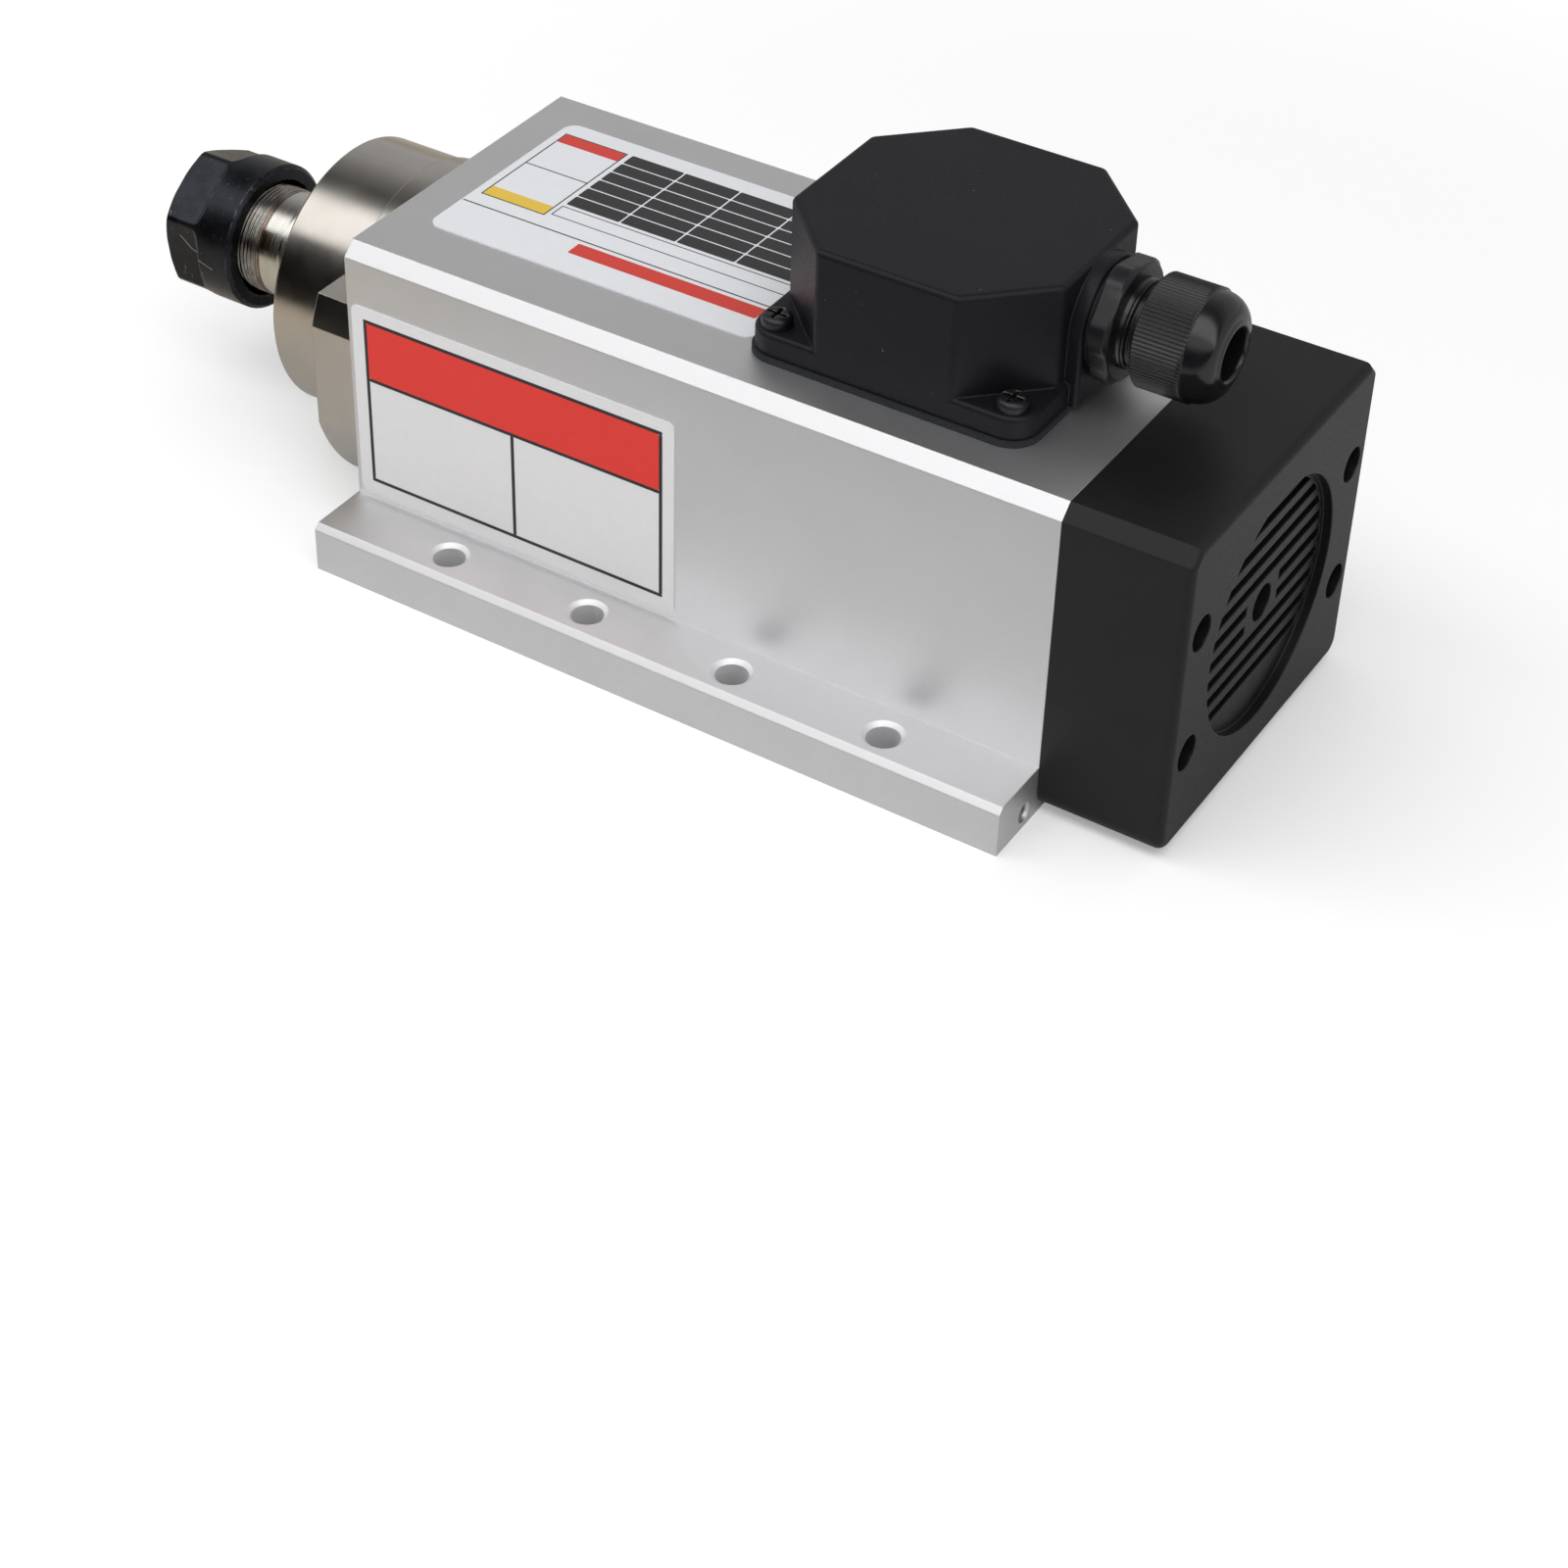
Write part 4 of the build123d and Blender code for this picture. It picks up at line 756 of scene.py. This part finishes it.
FINISHES = {
    "body": blasted_aluminium(),
    "nose": nickel_plate(),
    "ground_steel": turned_steel("ground_steel", (0.68, 0.665, 0.61), 0.22, SHAFT_STAINS_AND_SHADE),
    "nut_steel": black_oxide("black_oxide_nut", (0.020, 0.0215, 0.026), 0.26, 0.8, NUT_SCRATCH),
    "collet_steel": turned_steel("collet_steel", (0.62, 0.61, 0.58), 0.26),
    "black_screw": black_oxide("black_oxide_screw", (0.040, 0.041, 0.045), 0.34, wear=0.4),
    "bearing_steel": turned_steel("bearing_steel", (0.62, 0.61, 0.59), 0.18),
    "retainer": black_oxide("black_oxide_retainer", (0.05, 0.052, 0.056), 0.36, wear=0.5),
    "core_steel": cast_metal("laminated_steel", (0.34, 0.33, 0.32), 0.45),
    "end_ring": cast_metal("cast_aluminium_ring", (0.66, 0.66, 0.66), 0.42),
    "copper": enamelled_copper(),
    "bracket": cast_metal("cast_aluminium_bracket", (0.42, 0.42, 0.43), 0.5),
    "fan": moulded_plastic("fan_plastic", (0.012, 0.012, 0.013), 0.42, shine=0.35),
    "screw_steel": turned_steel("zinc_steel", (0.60, 0.60, 0.58), 0.3),
    "terminal_brass": turned_steel("terminal_brass", (0.72, 0.52, 0.22), 0.28),
    "cover_plastic": moulded_plastic(
        "cover_plastic", (0.0076, 0.0074, 0.0084), 0.40, 0.32, grain_scale=1700, grain_strength=0.10
    ),
    "box_plastic": moulded_plastic(
        "box_plastic", (0.0068, 0.0066, 0.0092), 0.45, 0.28, grain_strength=0.14, dust=0.4
    ),
    "block_plastic": moulded_plastic("block_plastic", (0.03, 0.03, 0.032), 0.45, shine=0.4),
    "gasket": rubber("gasket_rubber", (0.020, 0.022, 0.027)),
    "gland_plastic": moulded_plastic(
        "gland_nylon", (0.0088, 0.0088, 0.0100), 0.15, 0.64, grain_scale=900, grain_strength=0.01
    ),
    "gland_rubber": rubber("seal_rubber", (0.016, 0.016, 0.016)),
    "plate_film": film("plate_film", (0.80, 0.81, 0.84)),
    "label_film": film("label_film", (0.80, 0.79, 0.79)),
}
# The hexagon is duller than the gland's other pieces.
hexagon_nylon = moulded_plastic(
    "gland_hexagon_nylon",
    (0.0072, 0.0072, 0.0090),
    0.34,
    0.55,
    grain_scale=900,
    grain_strength=0.04,
)

slot_of = {part["node"]: part["material_slot"] for part in frame["record"]["subparts"]}
for node_name, node in NODES.items():
    node.data.materials.clear()
    node.data.materials.append(FINISHES[slot_of[node_name]])

for piece, finish in (
    (shaft, FINISHES["ground_steel"]),
    (hexagon, hexagon_nylon),
    (gland_thread, FINISHES["gland_plastic"]),
    (cap, FINISHES["gland_plastic"]),
    (label_lines, film("black_ink", (0.022, 0.021, 0.022))),
    (label_band, film("red_ink", (0.80, 0.034, 0.022))),
    (plate_table, film("table_ink", (0.030, 0.030, 0.032))),
    (plate_lines, film("line_ink", (0.05, 0.05, 0.05))),
    (plate_red, film("bright_red_ink", (0.66, 0.05, 0.035))),
    (plate_yellow, film("yellow_ink", (0.80, 0.55, 0.06))),
):
    piece.data.materials.append(finish)

# ---- floor, in metres ---------------------------------------------------------------------------

FLOOR_SIZE = 6.0
FLOOR_STEPS = 48
# Its middle is flat, and it rises from this share of its half size on.
FLOOR_FLAT = 0.75
FLOOR_RISE = 0.15
FLOOR_WHITE = (0.86, 0.86, 0.86)
# Extra white of the floor for the eye: near the object, and from the end of FLOOR_OPEN on.
FLOOR_OPEN, FLOOR_LIFT = (0.20, 0.55), (0.26, 0.50)
# Painted reflection: the floor as metal mirrors it, by Y: dark in front of the object, lighter
# close to it.
FLOOR_FADE, FLOOR_MIRRORED = (-0.38, -0.10), (0.02, 0.61)
# Painted reflection: its warmer tone by the nose, by X, seen only in metal.
WARM_END, WARM_TONE = (-0.16, -0.10), (1.0, 0.91, 0.77)


def pale_floor():
    """A large floor with a gently rising far edge, so no hard horizon shows."""
    half = FLOOR_SIZE / 2
    points, faces = [], []
    for i in range(FLOOR_STEPS + 1):
        for j in range(FLOOR_STEPS + 1):
            x = -half + FLOOR_SIZE * i / FLOOR_STEPS
            y = -half + FLOOR_SIZE * j / FLOOR_STEPS
            rise = max(0.0, math.hypot(x, y) - FLOOR_FLAT * half)
            points.append((x / MM, y / MM, FLOOR_RISE * rise**2 / MM))
    for i in range(FLOOR_STEPS):
        for j in range(FLOOR_STEPS):
            a = i * (FLOOR_STEPS + 1) + j
            faces.append((a, a + FLOOR_STEPS + 1, a + FLOOR_STEPS + 2, a + 1))
    floor = mesh_object("studio_floor", points, faces, smooth=60)
    return floor


def floor_paint():
    """White paint, lifted a little for the eye so that the open floor reads as plain white."""
    g = Graph(bpy.data.materials.new("floor_paint"))
    place = g.coordinates["Object"]
    x, y, _ = g.split(place)
    seen = g.node("LightPath").outputs

    # Painted reflection: as seen in metal, the paint is darker in front and warmer by the nose.
    mirrored = g.node("VectorMath", operation="SCALE")
    g.link(g.mix(g.ramp(x, *WARM_END, 1.0, 0.0), WHITE, WARM_TONE), mirrored.inputs[0])
    g.link(g.ramp(y, *FLOOR_FADE, *FLOOR_MIRRORED, easing="SMOOTHSTEP"), mirrored.inputs["Scale"])
    colour = g.mix(seen["Is Glossy Ray"], FLOOR_WHITE, mirrored.outputs[0])
    paint = g.node("BsdfDiffuse")
    g.link(colour, paint.inputs["Color"])

    reach = g.node("VectorMath", operation="LENGTH")
    g.link(place, reach.inputs[0])
    lift = g.ramp(reach.outputs["Value"], *FLOOR_OPEN, *FLOOR_LIFT, easing="SMOOTHSTEP")
    glow = g.node("Emission")
    g.link(g.times(seen["Is Camera Ray"], lift), glow.inputs["Strength"])

    both = g.node("AddShader")
    g.link(paint.outputs[0], both.inputs[0])
    g.link(glow.outputs[0], both.inputs[1])
    g.link(both.outputs[0], g.node("OutputMaterial").inputs["Surface"])
    return g.owner


floor = pale_floor()
floor.data.materials.append(floor_paint())

# ---- world and light ----------------------------------------------------------------------------

# The greys of the world have this much more blue than red.
WORLD_BLUE = 1.01
WORLD_SOFT = 0.62
# Brightness of the room as the metal mirrors it, by angle in degrees from straight up towards the
# camera side.
ROOM = [
    (-180, 0.44), (-94, 0.64), (-78, 0.46), (-62, 0.46), (-48, 0.42), (-29, 0.21), (-13, 0.06),
    (-2, 0.22), (6, 1.3), (12, 1.6), (35, 1.55), (40, 1.25), (45, 0.06), (60, 0.0), (92, 0.0),
    (180, 0.0),
]
# A second panel, seen only by surfaces that mirror less towards the nose: the angles over which it
# comes and goes, the part of the mirrored direction along X over which it comes, and its level.
PANEL_COMES, PANEL_GOES = (38.0, 44.0), (62.0, 78.0)
PANEL_SIDE = (-0.48, -0.30)
PANEL_LEVEL = 0.75


def studio_world():
    """White to the eye, soft grey to matt surfaces, and a banded room in polished ones."""
    g = Graph(bpy.data.worlds.new("studio"))
    x, y, z = g.split(g.coordinates["Generated"])
    angle = g.math("ARCTAN2", g.times(y, -1.0), z)
    bands = g.node("ValToRGB")
    g.link(g.ramp(angle, -math.pi, math.pi), bands.inputs[0])
    stops = bands.color_ramp.elements
    while len(stops) < len(ROOM):
        stops.new(0.5)
    for stop, (degrees, level) in zip(stops, ROOM):
        stop.position = (degrees + 180) / 360
        stop.color = (level, level, level * WORLD_BLUE, 1.0)
    panel = g.times(
        g.ramp(angle, *map(math.radians, PANEL_COMES)),
        g.ramp(angle, *map(math.radians, PANEL_GOES), 1.0, 0.0),
        g.ramp(x, *PANEL_SIDE, end=PANEL_LEVEL),
    )
    room = g.mix(1.0, bands.outputs[0], panel, blend="ADD")
    seen = g.node("LightPath").outputs
    soft = g.colour((WORLD_SOFT, WORLD_SOFT, WORLD_SOFT * WORLD_BLUE))
    lit = g.mix(seen["Is Glossy Ray"], soft, room)
    clear = g.math("MAXIMUM", seen["Is Camera Ray"], seen["Is Transmission Ray"])
    background = g.node("Background")
    g.link(g.mix(clear, lit, WHITE), background.inputs["Color"])
    g.link(background.outputs[0], g.node("OutputWorld").inputs["Surface"])
    return g.owner


def softbox(name, degrees, distance, length, width, watts, x_centre):
    """A long softbox over the object, at an angle from straight up towards the camera side."""
    light = bpy.data.lights.new(name, "AREA")
    light.shape = "RECTANGLE"
    light.size, light.size_y = length, width
    light.energy = watts
    lamp = bpy.data.objects.new(name, light)
    a = math.radians(degrees)
    lamp.location = (x_centre, -distance * math.sin(a), distance * math.cos(a))
    lamp.rotation_euler = (-a, 0.0, 0.0)
    # Polished metal mirrors the bright band of ROOM in its place.
    lamp.visible_glossy = False
    bpy.context.scene.collection.objects.link(lamp)


bpy.context.scene.world = studio_world()
softbox(
    "key_softbox", degrees=25.0, distance=1.0, length=2.2, width=0.62, watts=8.6, x_centre=-0.35
)

# ---- camera, fitted to the body's edges, the mounting holes and the collar ----------------------

CAMERA_PLACE = (0.29350, -0.48251, 0.41647)
CAMERA_AZIMUTH, CAMERA_ELEVATION, CAMERA_ROLL = 33.665, 36.981, 0.255
CAMERA_LENS, CAMERA_SENSOR = 74.77, 36.0
CAMERA_SHIFT = (0.0691, -0.1163)
CAMERA_CLIP = (0.05, 20.0)

azimuth, elevation = math.radians(CAMERA_AZIMUTH), math.radians(CAMERA_ELEVATION)
back = Vector(
    (
        math.sin(azimuth) * math.cos(elevation),
        -math.cos(azimuth) * math.cos(elevation),
        math.sin(elevation),
    )
)
right = Vector((0, 0, 1)).cross(back).normalized()
up = back.cross(right)
roll = Matrix.Rotation(math.radians(CAMERA_ROLL), 3, back)
axes = Matrix((roll @ right, roll @ up, back)).transposed()
lens = bpy.data.cameras.new("camera")
lens.lens = CAMERA_LENS
lens.sensor_width = CAMERA_SENSOR
lens.shift_x, lens.shift_y = CAMERA_SHIFT
lens.clip_start, lens.clip_end = CAMERA_CLIP
camera = bpy.data.objects.new("camera", lens)
camera.matrix_world = Matrix.Translation(CAMERA_PLACE) @ axes.to_4x4()
bpy.context.scene.collection.objects.link(camera)
bpy.context.scene.camera = camera
bpy.context.scene.view_settings.view_transform = "Standard"
